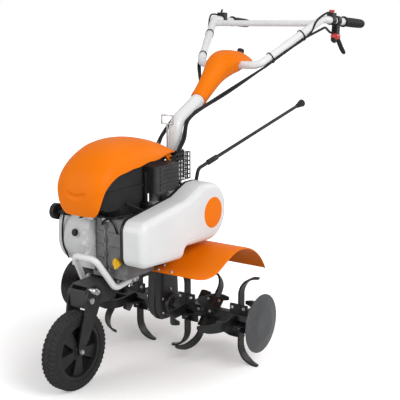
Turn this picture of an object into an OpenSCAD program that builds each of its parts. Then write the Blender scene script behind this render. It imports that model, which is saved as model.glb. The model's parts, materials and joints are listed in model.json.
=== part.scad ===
// Petrol power tiller with a folding front transport wheel.
// +X points forward, +Y to the machine's left, +Z up; the ground is Z = 0.
// Inside the modules X is measured from the tine axle; seat() moves the
// finished pieces so that the origin is the middle of the footprint.

/* [Tine rotor] */
// Radius swept by the tine tips, which is also the height of the axle
tine_r = 160; // [140:1:190]
// Width of the strap that a tine is cut from
tine_w = 32; // [24:1:36]
// Thickness of the tine strap
tine_t = 7; // [5:0.5:9]
// Sideways reach of a tine from its shank to its tip
tine_reach = 72; // [50:1:74]
// Distance of the inner tine station from the middle
station_in = 112; // [108:1:116]
// Distance of the middle tine station from the middle
station_mid = 208; // [198:1:220]
// Distance of the outer tine station from the middle
station_out = 330; // [315:1:345]
// Radius of the plant guard discs at the ends
disc_r = 101; // [80:1:120]
// Distance of the guard discs' outer face from the middle
disc_y = 428; // [420:1:450]

/* [Front wheel] */
// Outer radius of the tyre
tyre_r = 130; // [110:1:136]
// Width of the tyre
tyre_w = 52; // [40:1:58]
// Height of the tyre's section, from the rim to the tread
tyre_h = 33; // [28:1:40]
// Distance of the wheel's axle in front of the tine axle
wheel_x = 478; // [470:1:520]
// Fold pivot's distance in front of the tine axle
pivot_x = 440; // [432:1:450]

/* [Handlebar] */
// Outer diameter of the handlebar tube
bar_d = 30; // [25:1:34]
// Height of the top bends of the handlebar
bar_top_z = 1168; // [1100:1:1250]
// Half of the width between the top bends
bar_top_y = 254; // [220:1:290]
// Length of each hand grip
grip_len = 150; // [120:1:170]
// Distance of the grips' ends behind the tine axle
grip_end_x = 1046; // [1020:1:1100]
// Outer diameter of the steering column
column_d = 50; // [44:1:54]
// Distance of the upright column behind the tine axle
column_x = 74; // [72:1:80]

/* [Engine] */
// Crankshaft's distance in front of the tine axle
crank_x = 282; // [276:1:288]
// Crankshaft's height
crank_z = 467; // [460:1:474]
// Outer radius of the fan's blower housing
blower_r = 100; // [90:1:108]
// Number of cooling fins on the cylinder
fin_count = 9; // [5:1:11]

/* [Belt guard] */
// Height of the driven pulley's shaft
pulley_z = 527; // [515:1:535]
// Radius of the guard round the driven pulley
guard_rear_r = 104; // [100:1:110]
// Radius of the guard's front corners
guard_front_r = 40; // [30:1:50]
// Depth of the guard across the machine
guard_depth = 80; // [60:1:100]

/* [Fenders] */
// Outer edge of the fenders from the middle
fender_y = 310; // [280:1:330]
// Thickness of the fender's wall
fender_t = 3; // [2:0.5:5]

/* [Hood] */
// Half of the hood's width
hood_half = 104; // [98:1:112]
// Wall of the hood
hood_wall = 3; // [2:0.5:4]
// Height of the axis that the hood's ribs fan out from
hood_axis_z = 600; // [596:1:610]

/* [Fits] */
// Radial clearance of a shaft in its bearing
run_fit = 0.05; // [0.03:0.01:0.09]
// Radial clearance of a fixed sleeve on its tube
slip_fit = 0.1; // [0.05:0.01:0.2]
// Gap under pieces that are seated but not joined
seat_gap = 0.3; // [0.1:0.1:0.5]

/* [Hidden] */
$fn = 48;
eps = 1;
axle_z = tine_r;
wheel_z = tyre_r;
rim_r = tyre_r - tyre_h;
bar_r = bar_d / 2;
column_r = column_d / 2;
grip_r = bar_r + 3.5;

// Middle of the footprint, from the tyre's front to the grips' round ends
front_x = wheel_x + tyre_r;
rear_x = -grip_end_x;
mid_x = (front_x + rear_x) / 2;

// Gear case and what is bolted to it
case_half = 32;
case_low_r = 62;
case_top_r = 44;
boss_half = 50;
boss_r = 40;
shaft_r = 15;
journal_r = 20;
pulley_x = 5;
cheek_t = 8;
cheek_top = 480;

// Frame under the engine
plate_top = 2 * tyre_r + 88;
plate_t = 8;
plate_half = 95;
plate_rear = 60;
plate_front = 330;
flange_z = plate_top - 20;
tongue_half = 35;
tongue_low = 2 * tyre_r + 8;
pivot_z = tongue_low + 25;
tongue_front = pivot_x + 16;
sheet_t = 4;

// Reel tubes on the tine shaft
reel_in = boss_half + 4;
reel_out = disc_y - 18;
hex_r = 24;
holder_t = 8;

// Fork of the front wheel
fork_in = tyre_w / 2 + 10;
fork_t = 6;
pivot_r = 6;
wheel_axle_r = 8;

// Engine places
engine_base = plate_top;
case_front = crank_x + 68;
case_rear = crank_x - 72;
case_y0 = -14;
case_y1 = 112;
case_top = crank_z + 78;
filler_y = 90;
filler_z = 408;
filler_h = 5;
blower_y0 = -145;
tank_z = 576;
tank_top = 694;
tank_w = 2 * hood_half - 54;
cyl_tilt = 15;
cyl_y = 42;
muffler_z = 602;
muffler_top = 692;
plate_y = 118;
back_t = 6;
guard_y = plate_y + back_t;

// Hood: hinge behind, ribs fanning out from an axis inside
hinge_x = 30;
hinge_z = 700;
hinge_r = 5;
hood_axis_x = 300;
lug_y = 46;
lug_t = 12;

// Handlebar route, from the left grip to the right one
bar_low = [-434, 133, bar_top_z - 171];
bar_top = [-718, bar_top_y, bar_top_z];
bar_end_gap = 14;
grip_tip = [-grip_end_x + grip_r, bar_top_y + 26, bar_top_z - 20];
bar_bend = 46;
cross_t = 0.1;

// Column route, from the clamp on the gear case to the console
column_foot = [-column_x, 0, 440];
column_bend = [-column_x - 8, 0, 806];
column_head = [-290, 0, 911];

// Vector helpers
function unit(v) = v / norm(v);
function flip(p) = [p[0], -p[1], p[2]];

// Smooth value through the knots [[x, value], ...], flat at both ends
function smooth(knots, x, i = 0) =
    x <= knots[0][0] ? knots[0][1] :
    i >= len(knots) - 1 ? knots[len(knots) - 1][1] :
    x > knots[i + 1][0] ? smooth(knots, x, i + 1) :
    hermite(knots, i, (x - knots[i][0]) / (knots[i + 1][0] - knots[i][0]));
function slope(knots, i) =
    let (a = max(0, i - 1), b = min(len(knots) - 1, i + 1))
    (knots[b][1] - knots[a][1]) / (knots[b][0] - knots[a][0]);
function hermite(knots, i, t) =
    let (h = knots[i + 1][0] - knots[i][0])
    (2 * t * t * t - 3 * t * t + 1) * knots[i][1] + (t * t * t - 2 * t * t + t) * h * slope(knots, i)
    + (3 * t * t - 2 * t * t * t) * knots[i + 1][1] + (t * t * t - t * t) * h * slope(knots, i + 1);

// Tangent points of two circles [x, y, r] on the right of the way from a to b
function tangent(a, b) =
    let (d = [b[0] - a[0], b[1] - a[1]], n = norm(d), ang = atan2(d[1], d[0]) - acos((a[2] - b[2]) / n))
    [[a[0] + a[2] * cos(ang), a[1] + a[2] * sin(ang)], [b[0] + b[2] * cos(ang), b[1] + b[2] * sin(ang)]];

// Outline round circles listed anticlockwise
module belt_outline(circles) {
    n = len(circles);
    polygon([for (i = [0 : n - 1]) each tangent(circles[i], circles[(i + 1) % n])]);
    for (c = circles)
        translate([c[0], c[1]]) circle(r = c[2]);
}

// Rectangle with round corners, centred
module round_rect(w, h, r) {
    square([w - 2 * r, h], center = true);
    square([w, h - 2 * r], center = true);
    for (sx = [-1, 1], sy = [-1, 1])
        translate([sx * (w / 2 - r), sy * (h / 2 - r)]) circle(r = r);
}

// A flat shape drawn in X and Z, thick from y0 to y1
module across(y0, y1) {
    translate([0, y1, 0]) rotate([90, 0, 0]) linear_extrude(y1 - y0) children();
}

// A round bar along Y
module y_bar(x, z, r, y0, y1) {
    translate([x, y1, z]) rotate([90, 0, 0]) cylinder(r = r, h = y1 - y0);
}

// Children drawn along +Z are laid along the line from a towards b
module lay(a, b) {
    ez = unit(b - a);
    side = abs(ez[2]) > 0.99 ? [1, 0, 0] : unit(cross([0, 0, 1], ez));
    up = cross(ez, side);
    multmatrix([[side[0], up[0], ez[0], a[0]], [side[1], up[1], ez[1], a[1]],
        [side[2], up[2], ez[2], a[2]], [0, 0, 0, 1]]) children();
}

// A round rod from a to b
module rod(a, b, r) {
    lay(a, b) cylinder(r = r, h = norm(b - a));
}

// Route through points: straight runs joined by arcs of one bend radius
function bent_route(points, bend, steps = 6) = [
    points[0],
    for (i = [1 : len(points) - 2])
        let (u = unit(points[i] - points[i - 1]), v = unit(points[i + 1] - points[i]), turn = acos(u * v),
            cut = bend * tan(turn / 2), w = unit(v - u * (u * v)), c = points[i] - u * cut + w * bend)
        for (k = [0 : steps])
            let (a = turn * k / steps)
            c + bend * (sin(a) * u - cos(a) * w),
    points[len(points) - 1]];

// Tangents along a route, and normals carried along it without twist
function route_tangents(route) = [for (i = [0 : len(route) - 1])
    unit(route[min(i + 1, len(route) - 1)] - route[max(i - 1, 0)])];
function square_to(v, t) = unit(v - t * (v * t));
function route_normals(tangents) = [
    for (i = 0, n = square_to(abs(tangents[0][2]) > 0.9 ? [0, 1, 0] : [0, 0, 1], tangents[0]);
        i < len(tangents);
        i = i + 1, n = i < len(tangents) ? square_to(n, tangents[i]) : n)
        n];

// Bent tube: one closed skin of rings along the route
module bent_rod(points, r, bend, sides = 16) {
    route = bent_route(points, bend);
    last = len(route) - 1;
    tangents = route_tangents(route);
    normals = route_normals(tangents);
    ring = [for (i = [0 : last], k = [0 : sides - 1])
        let (a = 360 * k / sides, side = cross(tangents[i], normals[i]))
        route[i] + r * (cos(a) * normals[i] + sin(a) * side)];
    walls = [for (i = [0 : last - 1], k = [0 : sides - 1])
        let (p = i * sides + k, q = i * sides + (k + 1) % sides)
        each [[p, p + sides, q + sides], [p, q + sides, q]]];
    caps = [[for (k = [0 : sides - 1]) k], [for (k = [sides - 1 : -1 : 0]) last * sides + k]];
    polyhedron(ring, concat(walls, caps));
}

// The finished pieces stand with the middle of the footprint at the origin
module seat() {
    translate([-mid_x, 0, 0]) children();
}

// Folded base plate under the engine, with cheeks that hold the gear case
module frame() {
    color("#26282a") {
        translate([plate_rear, -plate_half, plate_top - plate_t])
            cube([plate_front - plate_rear, 2 * plate_half, plate_t]);
        for (s = [-1, 1])
            translate([plate_rear, s > 0 ? plate_half - sheet_t : -plate_half, flange_z])
                cube([plate_front - plate_rear - 90, sheet_t, plate_top - plate_t - flange_z]);
        for (s = [-1, 1])
            across(s > 0 ? case_half : -case_half - cheek_t, s > 0 ? case_half + cheek_t : -case_half)
                polygon([[-column_x - 34, 420], [-column_x - 34, cheek_top - 12], [-column_x - 22, cheek_top],
                    [60, cheek_top], [170, plate_top + 8], [170, plate_top - plate_t],
                    [45, plate_top - plate_t], [-20, 396]]);
    }
}

// Cast case: tine axle below, driven pulley's shaft above
module gear_case() {
    color("#3a3c3e") difference() {
        union() {
            across(-case_half, case_half)
                belt_outline([[0, axle_z, case_low_r], [pulley_x, pulley_z, case_top_r]]);
            across(-8, 8)
                belt_outline([[0, axle_z, case_low_r + 5], [4, 290, case_low_r - 10]]);
            y_bar(0, axle_z, boss_r, -boss_half, boss_half);
            y_bar(pulley_x, pulley_z, 30, case_half, plate_y);
        }
        y_bar(0, axle_z, journal_r + run_fit, -boss_half - eps, boss_half + eps);
    }
}

// Folded tongue that carries the front wheel's fork
module wheel_bracket() {
    color("#3c3e41") difference() {
        union() {
            across(-tongue_half, tongue_half)
                polygon([[250, plate_top - plate_t], [250, tongue_low + 32], [340, tongue_low],
                    [tongue_front, tongue_low], [tongue_front, tongue_low + 54],
                    [tongue_front - 18, plate_top - plate_t]]);
            y_bar(pivot_x, pivot_z, pivot_r + 8, -tongue_half, tongue_half);
        }
        difference() {
            translate([200, -tongue_half + sheet_t, tongue_low - 40])
                cube([tongue_front - sheet_t - 200, 2 * (tongue_half - sheet_t), plate_top - plate_t - sheet_t
                    - tongue_low + 40]);
            y_bar(pivot_x, pivot_z, pivot_r + 4, -tongue_half, tongue_half);
        }
        y_bar(pivot_x, pivot_z, pivot_r + run_fit, -tongue_half - eps, tongue_half + eps);
    }
}

// Spring pin that locks the fork in its travel position
module lock_pin() {
    color("#b9bcc0") {
        y_bar(pivot_x - 4, pivot_z + 33, 5, tongue_half, tongue_half + 26);
        y_bar(pivot_x - 4, pivot_z + 33, 8, tongue_half, tongue_half + 14);
        translate([pivot_x - 4, tongue_half + 30, pivot_z + 33]) rotate([0, 90, 0])
            rotate_extrude() translate([9, 0]) circle(r = 1.6);
    }
}

// Bent tube in front of the engine
module bumper() {
    low = plate_top - plate_t - 10.7;
    half = [[252, 78, low], [292, 78, low], [347, 66, plate_top - 34], [418, 45, plate_top + 76]];
    color("#eceeef")
        bent_rod(concat(half, [for (k = [3 : -1 : 0]) flip(half[k])]), 10.5, 24);
}

// Engine block: foot, split flange with its screws, ribs, oil filler and output boss
module crankcase() {
    seam_y = case_y0 + 46;
    color("#8d9093") {
        translate([case_rear - 10, case_y0 - 10, engine_base])
            cube([case_front - case_rear + 10, case_y1 - case_y0 + 10, 14]);
        translate([(case_front + case_rear) / 2, (case_y0 + case_y1) / 2, engine_base])
            linear_extrude(case_top - engine_base)
                round_rect(case_front - case_rear, case_y1 - case_y0, 14);
        translate([case_front - 6, seam_y - 4, engine_base + 6]) cube([11, 8, case_top - engine_base - 14]);
        for (k = [0 : 3])
            translate([case_front - 4, seam_y, engine_base + 34 + k * 46]) rotate([0, 90, 0]) {
                cylinder(r = 9, h = 12);
                cylinder(r = 5.5, h = 17, $fn = 6);
            }
        for (k = [0 : 2])
            translate([case_front - 4, case_y0 + 12, engine_base + 60 + k * 44]) cube([8, 26, 5]);
        for (k = [0 : 1])
            translate([case_front - 4, seam_y + 8, engine_base + 100 + k * 46]) cube([8, 56, 5]);
        translate([case_front - 4, filler_y, filler_z]) rotate([0, 90, 0]) cylinder(r = 19, h = 4 + filler_h);
        translate([case_front - 4, filler_y - 34, engine_base + 28]) rotate([0, 90, 0]) {
            cylinder(r = 12, h = 8);
            cylinder(r = 8, h = 16, $fn = 6);
        }
        y_bar(crank_x, crank_z, 46, case_y1 - eps, plate_y);
        y_bar(crank_x, crank_z, 60, case_y1 - 20, case_y1 + 2);
    }
}

// Round fan housing on the right, with its foot, screw ears and the seat of the front cap
module blower_housing() {
    color("#d9dbdc") {
        across(blower_y0, case_y0)
            belt_outline([[crank_x, crank_z, blower_r], [crank_x + 24, 499, 74], [crank_x - 30, 492, 78]]);
        translate([crank_x - 62, blower_y0 + 16, engine_base + 12])
            cube([118, case_y0 - blower_y0 - 30, 60]);
        for (turn = [-50, -27, -4, 15])
            translate([crank_x, 0, crank_z]) rotate([0, -turn, 0]) {
                y_bar(blower_r + 3, 0, 11, case_y0 - 14, case_y0 - 2);
                y_bar(blower_r + 3, 0, 5, case_y0 - 19, case_y0 - 10);
            }
        on_blower() translate([0, 0, cap_seat - 30]) cylinder(r = cap_r + 3, h = 30);
    }
}

// Black cap on the front of the fan housing
cap_r = 12;
cap_seat = blower_r + 6;
module on_blower() {
    translate([crank_x, -66, crank_z]) rotate([0, 77, 0]) children();
}
module blower_cap() {
    color("#1d1e20") on_blower() translate([0, 0, cap_seat]) {
        cylinder(r = cap_r, h = 5);
        cylinder(r = cap_r - 4, h = 8);
    }
}

// Recoil starter: slotted cover over the fan
module recoil_starter() {
    color("#2a2c2e") difference() {
        union() {
            y_bar(crank_x, crank_z, 78, blower_y0 - 16, blower_y0);
            y_bar(crank_x, crank_z, 52, blower_y0 - 26, blower_y0 - 10);
        }
        for (k = [0 : 11])
            translate([crank_x, blower_y0 - 20, crank_z]) rotate([0, k * 30, 0])
                translate([58, -10, -4]) cube([14, 20, 8]);
    }
}

// Pull grip of the starter
module recoil_grip() {
    reach = 74 + 8 + seat_gap;
    pull_angle = 36.6;
    x = crank_x + 24 + reach * cos(pull_angle);
    z = 499 + reach * sin(pull_angle);
    color("#1d1e20") {
        y_bar(x, z, 8, blower_y0 - 6, blower_y0 + 44);
        y_bar(x, z, 27, blower_y0 - 22, blower_y0 - 5);
        y_bar(x, z, 20, blower_y0 - 27, blower_y0 - 20);
    }
}

// Finned cylinder and head, leaning back from the crankcase, with the exhaust stub
module engine_cylinder() {
    reach0 = 66;
    pitch = 10;
    head0 = reach0 + 16 + fin_count * pitch;
    color("#6f7275") {
        translate([crank_x, cyl_y, crank_z]) rotate([0, cyl_tilt, 0]) translate([-reach0, 0, 0]) {
            difference() {
                union() {
                    translate([-head0 + reach0, -34, -34]) cube([head0 - reach0, 68, 68]);
                    for (k = [0 : fin_count - 1])
                        translate([-16 - k * pitch, -48, -44]) cube([3.5, 96, 88]);
                    translate([-head0 + reach0 - 26, -40, -36]) cube([28, 80, 72]);
                }
                rotate([0, -cyl_tilt, 0]) translate([case_rear - crank_x + reach0 * cos(cyl_tilt), -60, -120])
                    cube([200, 120, 240]);
            }
        }
        translate([crank_x - 150, 60, crank_z + 60]) cylinder(r = 15, h = muffler_z - crank_z - 60);
    }
}

// Moulded fuel tank and air box under the hood
module fuel_tank() {
    front = hood_axis_x + 109;
    rear = hood_axis_x - 105;
    color("#1b1c1e") {
        intersection() {
            translate([(front + rear) / 2, 0, tank_z - 1]) linear_extrude(tank_top - tank_z + 1)
                round_rect(front - rear, tank_w, 24);
            across(-tank_w, tank_w)
                polygon([[rear - 9, tank_top + 9], [rear - 9, tank_z + 26], [crank_x - 50, tank_z],
                    [front - 26, tank_z], [front + 9, tank_z + 22], [front + 9, tank_top + 9]]);
        }
        translate([(front + rear) / 2, 0, 632]) linear_extrude(8) round_rect(front - rear + 6, tank_w + 7, 27);
        translate([crank_x - 50, case_y0 + 10, case_top]) cube([100, 84, tank_z - case_top + eps]);
    }
}

// Silencer over the cylinder
module muffler() {
    color("#3b3d40") {
        translate([112, 62, muffler_z]) linear_extrude(muffler_top - muffler_z) round_rect(136, 104, 20);
        for (k = [0 : 5])
            translate([60, 113, muffler_z + 10 + k * 14]) cube([104, 4, 6]);
    }
}

// Wire cage behind the silencer
module muffler_guard() {
    x0 = -44;
    x1 = 44;
    y0 = 36;
    y1 = 92;
    z0 = 622;
    z1 = 715;
    bar = 3;
    color("#232527") {
        for (z = [z0 : (z1 - z0) / 6 : z1 + eps]) {
            translate([x0, y1 - bar, z - bar / 2]) cube([x1 - x0, bar, bar]);
            translate([x0, y0, z - bar / 2]) cube([bar, y1 - y0, bar]);
        }
        for (x = [x0 : (x1 - x0 - bar) / 6 : x1])
            translate([x, y1 - bar, z0 - bar / 2]) cube([bar, bar, z1 - z0 + bar]);
        for (y = [y0 : (y1 - y0 - bar) / 4 : y1])
            translate([x0, y, z0 - bar / 2]) cube([bar, bar, z1 - z0 + bar]);
    }
}

// Yellow oil stick on the crankcase
module dipstick() {
    color("#e8c21c") translate([case_front + filler_h, filler_y, filler_z]) rotate([0, 90, 0]) {
        cylinder(r = 11, h = 8);
        translate([0, 0, 6]) cylinder(r = 15, h = 10, $fn = 8);
        translate([-17, -4, 12]) cube([34, 8, 9]);
    }
}

// Corners of the guard's outline with their radii: front end, waist, rear lobe and the step below it
guard_front = case_front + 24;
lobe_x = pulley_x - 10;
lobe_z = pulley_z - 10;
guard_corners = [[guard_front, 402, guard_front_r - 6], [guard_front, 547, guard_front_r], [118, 584, 90],
    [30, lobe_z + guard_rear_r, 60], [lobe_x - guard_rear_r, lobe_z + guard_rear_r, 0.96 * guard_rear_r],
    [lobe_x - guard_rear_r, lobe_z - guard_rear_r, 0.96 * guard_rear_r], [136, 424, 18], [152, 388, 26]];

// Outline with round corners, moved inwards; an inward move widens the hollow corners
function round_outline(corners, inset, steps = 8) = [
    for (i = [0 : len(corners) - 1])
        let (n = len(corners), b = corners[i], a = corners[(i + n - 1) % n], c = corners[(i + 1) % n],
            u = unit([b[0] - a[0], b[1] - a[1]]), v = unit([c[0] - b[0], c[1] - b[1]]),
            turn = atan2(u[0] * v[1] - u[1] * v[0], u * v), way = sign(turn), left = [-u[1], u[0]] * way,
            middle = [b[0], b[1]] - u * b[2] * tan(abs(turn) / 2) + left * b[2])
        for (k = [0 : steps])
            let (t = turn * k / steps)
            middle - (b[2] - way * inset) * [left[0] * cos(t) - left[1] * sin(t),
                left[0] * sin(t) + left[1] * cos(t)]];

// Dark plate behind the belt guard
module guard_plate() {
    color("#202224") across(plate_y, plate_y + back_t) polygon(round_outline(guard_corners, -2));
}

// Moulded belt guard: one skin of outlines that draw in round its outer edge
module belt_guard() {
    round_in = 22;
    rows = [[0, 0], for (a = [0 : 22.5 : 90]) [round_in * (1 - cos(a)), guard_depth - round_in * (1 - sin(a))]];
    rings = [for (row = rows) [for (p = round_outline(guard_corners, row[0])) [p[0], guard_y + row[1], p[1]]]];
    sides = len(rings[0]);
    last = len(rows) - 1;
    walls = [for (i = [0 : last - 1], k = [0 : sides - 1])
        let (a = i * sides + k, b = i * sides + (k + 1) % sides)
        each [[a, b, b + sides], [a, b + sides, a + sides]]];
    caps = [[for (k = [sides - 1 : -1 : 0]) k], [for (k = [0 : sides - 1]) last * sides + k]];
    color("#f1f2f2") polyhedron([for (ring = rings) each ring], concat(walls, caps));
}

// Height of the fender's wall at x: a round arch that runs out into a flat front flange
fender_front = 204;
fender_rear = -205;
fender_peak = -28;
fender_top = 396;
fender_flange = plate_top - 4;
function fender_height(x) =
    x > 150 ? fender_flange :
    x > fender_peak ? fender_flange + (fender_top - fender_flange)
        * (0.5 + 0.5 * cos(180 * (x - fender_peak) / (150 - fender_peak))) :
    fender_top - 198 + sqrt(198 * 198 - (x - fender_peak) * (x - fender_peak));

// One fender, on the left; its inner edge lies against the base plate
module fender() {
    xs = [for (i = [0 : 40]) fender_rear + (fender_front - fender_rear) * i / 40];
    color("#f07d1a") difference() {
        across(plate_half, fender_y)
            polygon(concat([for (x = xs) [x, fender_height(x)]],
                [for (i = [40 : -1 : 0]) [xs[i], fender_height(xs[i]) + fender_t]]));
        translate([fender_front - 40, fender_y - 40, 300]) difference() {
            cube([60, 60, 120]);
            translate([0, 0, -eps]) cylinder(r = 40, h = 130);
        }
    }
}
module fender_left() {
    fender();
}
module fender_right() {
    mirror([0, 1, 0]) fender();
}

// Rear hitch: socket for a drag spur, with its cross pin bore
hitch_pin_r = 6.2;
hitch_pin_x = -column_x - 58;
hitch_pin_z = 446;
module hitch() {
    color("#2b2d2f") difference() {
        translate([-column_x - 88, -26, 420]) cube([54, 52, 52]);
        translate([-column_x - 74, -13, 400]) cube([26, 26, 100]);
        y_bar(hitch_pin_x, hitch_pin_z, hitch_pin_r, -30, 30);
    }
}

// Steering column, clamped between the cheeks
module column() {
    color("#eceeef") {
        bent_rod([column_foot, column_bend, column_head], column_r, 60, 32);
        translate([-column_x - 34, -case_half, 430]) cube([24, 2 * case_half, 40]);
    }
}

// Moulded console where the column meets the handlebar
module console() {
    run = unit(column_head - column_bend);
    color("#f07d1a") difference() {
        hull() {
            lay(column_head - run * 66, column_head) cylinder(r = column_r + 7, h = 20, $fn = 32);
            for (s = [-1, 1])
                translate(bar_low - [0, bar_low[1], 0]) {
                    translate([62, s * 44, 9]) sphere(r = 34, $fn = 32);
                    translate([-18, s * 52, 3]) sphere(r = 30, $fn = 32);
                    translate([-86, s * 40, 7]) sphere(r = 22, $fn = 32);
                }
        }
        lay(column_bend, column_head)
            cylinder(r = column_r + slip_fit, h = norm(column_head - column_bend) + slip_fit);
        y_bar(bar_low[0], bar_low[2], bar_r + slip_fit, -200, 200);
    }
}

// Clamp knob on the console
module console_knob() {
    foot = bar_low + [-70, -bar_low[1], 38.5];
    color("#1b1c1e") lay(foot, foot + [-30, 0, 15]) {
        cylinder(r = 9, h = 20);
        translate([0, 0, 16]) cylinder(r = 17, h = 22);
    }
}

// Bracket on the column with the rod that the hood turns on
module hood_hinge() {
    eye_r = 9;
    collar_at = 236;
    color("#2b2d2f") difference() {
        union() {
            lay(column_foot, column_bend) translate([0, 0, collar_at]) cylinder(r = column_r + 6, h = 34);
            for (s = [-1, 1])
                across(s > 0 ? 20 : -26, s > 0 ? 26 : -20) {
                    polygon([[-column_x, hinge_z - 20], [hinge_x + 3, hinge_z - 32], [hinge_x + 7, hinge_z],
                        [hinge_x - 7, hinge_z], [hinge_x - 11, hinge_z - 18], [-column_x, hinge_z + 4]]);
                    translate([hinge_x, hinge_z]) circle(r = eye_r);
                }
            y_bar(hinge_x, hinge_z, hinge_r, -lug_y - lug_t - 4, lug_y + lug_t + 4);
        }
        lay(column_foot, column_bend) cylinder(r = column_r + slip_fit, h = 420);
    }
}

// Long shift rod from the gear case back to its knob
module gear_lever() {
    lever_y = 106;
    foot = [-30, lever_y, 545];
    elbow = [-72, lever_y, 652];
    knob = [-852, lever_y, 821];
    way = unit(knob - elbow);
    color("#1f2022") {
        y_bar(foot[0], foot[2], 9, case_half, lever_y + 6);
        bent_rod([foot, [-54, lever_y, 600], elbow, knob - way * 20], 5, 26);
        rod(elbow + way * 60, elbow + way * 122, 8);
        rod(knob - way * 50, knob - way * 20, 7.5);
        rod(knob - way * 24, knob, 11);
    }
}

// Spring wire with a loop handle, in front of the column
module release_rod() {
    rod_x = -32;
    rod_r = 3.2;
    foot_z = pulley_z + sqrt(case_top_r * case_top_r - pow(rod_x + rod_r - pulley_x, 2)) + 0.3;
    color("#9fa2a6") {
        rod([rod_x, 0, foot_z], [rod_x, 0, 808], rod_r);
        for (y = [-24, 24])
            rod([rod_x, y, 808], [rod_x, y, 838], 3);
        for (z = [808, 838])
            y_bar(rod_x, z, 3, -24, 24);
        for (y = [-24, 24], z = [808, 838])
            translate([rod_x, y, z]) sphere(r = 3);
    }
}

// Bent handlebar with its welded cross tube
module handlebar() {
    weld = bar_top + (bar_low - bar_top) * cross_t;
    color("#eceeef") {
        bent_rod([tube_end(), bar_top, bar_low, flip(bar_low), flip(bar_top), flip(tube_end())], bar_r,
            bar_bend, 20);
        y_bar(weld[0], weld[2], bar_r - 3, -weld[1], weld[1]);
    }
}
// The tube stops short of the grip's round end
function tube_end() = grip_tip + unit(bar_top - grip_tip) * bar_end_gap;

// One hand grip, on the left: a sleeve with ribs and a round end
module grip() {
    way = unit(grip_tip - bar_top);
    start = grip_tip - way * grip_len;
    end_step = 0.6;
    color("#1b1c1e") difference() {
        union() {
            lay(start, grip_tip) {
                cylinder(r = grip_r, h = grip_len);
                cylinder(r = grip_r + 4, h = 8);
                for (k = [1 : 6])
                    translate([0, 0, 8 + k * grip_len / 8]) cylinder(r = grip_r + 1, h = 4);
            }
            translate(grip_tip + way * end_step) sphere(r = grip_r - end_step);
        }
        lay(start, grip_tip) translate([0, 0, -eps])
            cylinder(r = bar_r + slip_fit, h = grip_len - bar_end_gap + eps + slip_fit);
    }
}
module grip_left() {
    grip();
}
module grip_right() {
    mirror([0, 1, 0]) grip();
}

// Children ride on the left handlebar end, at a distance from the top bend; +Z runs back
module on_bar(s) {
    way = unit(grip_tip - bar_top);
    lay(bar_top + way * s, grip_tip) children();
}

// Clutch lever in its clamp under the left handle
lever_drop = bar_r + 38;
module clutch_lever() {
    color("#1b1c1e") on_bar(96) {
        difference() {
            union() {
                cylinder(r = bar_r + 5, h = 26);
                translate([-10, -lever_drop, 0]) cube([20, lever_drop - 8, 26]);
            }
            translate([0, 0, -eps]) cylinder(r = bar_r + slip_fit, h = 30);
        }
        rod([0, -lever_drop + 10, 20], [0, -lever_drop - 34, 92], 7);
        translate([0, -lever_drop - 34, 92]) sphere(r = 9);
    }
}

// Red lock piece under the clutch lever's clamp
module clutch_lock() {
    color("#c3271f") on_bar(96)
        translate([-12, -lever_drop - 16, -6]) cube([24, 16, 24]);
}

// Clamp and housing of the stop switch on the left handle
switch_top = bar_r + 14;
module switch_base() {
    color("#1b1c1e") on_bar(58) difference() {
        union() {
            cylinder(r = bar_r + clamp_t, h = 24);
            translate([-13, bar_r - 2, -4]) cube([26, switch_top - bar_r + 2, 32]);
        }
        translate([0, 0, -6]) cylinder(r = bar_r + slip_fit, h = 40);
    }
}

// Red button on the stop switch
module stop_switch() {
    color("#c3271f") on_bar(58) translate([0, switch_top, 12]) rotate([-90, 0, 0]) {
        cylinder(r = 9, h = 5);
        translate([0, 0, 4]) cylinder(r = 11, h = 7);
    }
}

// Throttle lever in its housing on the right handle
module throttle() {
    color("#1b1c1e") mirror([0, 1, 0]) on_bar(58) {
        difference() {
            union() {
                cylinder(r = bar_r + clamp_t, h = 28);
                translate([-16, bar_r - 2, -2]) cube([32, 18, 32]);
                translate([-3, bar_r + 10, 6]) rotate([-60, 0, 0]) cylinder(r = 4, h = 22);
            }
            translate([0, 0, -6]) cylinder(r = bar_r + slip_fit, h = 44);
        }
    }
}

// Control cables clipped under the arms of the handlebar and beside the column
cable_r = 4.5;
function beside(dir, towards, r) = square_to(towards, dir) * (r + cable_r + seat_gap);
cable_under = [0, 0.35, -1];
clamp_t = 4;
function cable_start(s) =
    let (way = unit(grip_tip - bar_top), arm = unit(bar_low - bar_top), r = bar_r + clamp_t)
    [bar_top + way * s + beside(way, cable_under, r), bar_top + beside(mix_dir(way, arm), cable_under, r),
        bar_low + beside(arm, cable_under, bar_r) - arm * 20];
function mix_dir(a, b) = unit(a - b);
function column_side(t) =
    let (run = unit(column_head - column_bend))
    column_bend + run * t + beside(run, [0, 1, -0.25], column_r);
module cable_left() {
    color("#17181a")
        bent_rod(concat(cable_start(96 - seat_gap), [column_head + [-40, 60, -6], column_side(92)],
            [column_side(24), [-62, 46, 755], [-30, 44, 712], [-10, 46, 640], [-14, 74, 596]],
            [[-14, plate_y - seat_gap, 596]]), cable_r, 20, 8);
}
module cable_right() {
    color("#17181a")
        bent_rod(concat([for (p = cable_start(58 - seat_gap)) flip(p)], [column_head + [-40, -60, -6]],
            [flip(column_side(92)), flip(column_side(24)), [-62, -46, 755], [-30, -44, 712]],
            [[-10, -46, 640], [50, -60, 622], [hood_axis_x - 105 - seat_gap, -60, 620]]), cable_r, 20, 8);
}

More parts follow.
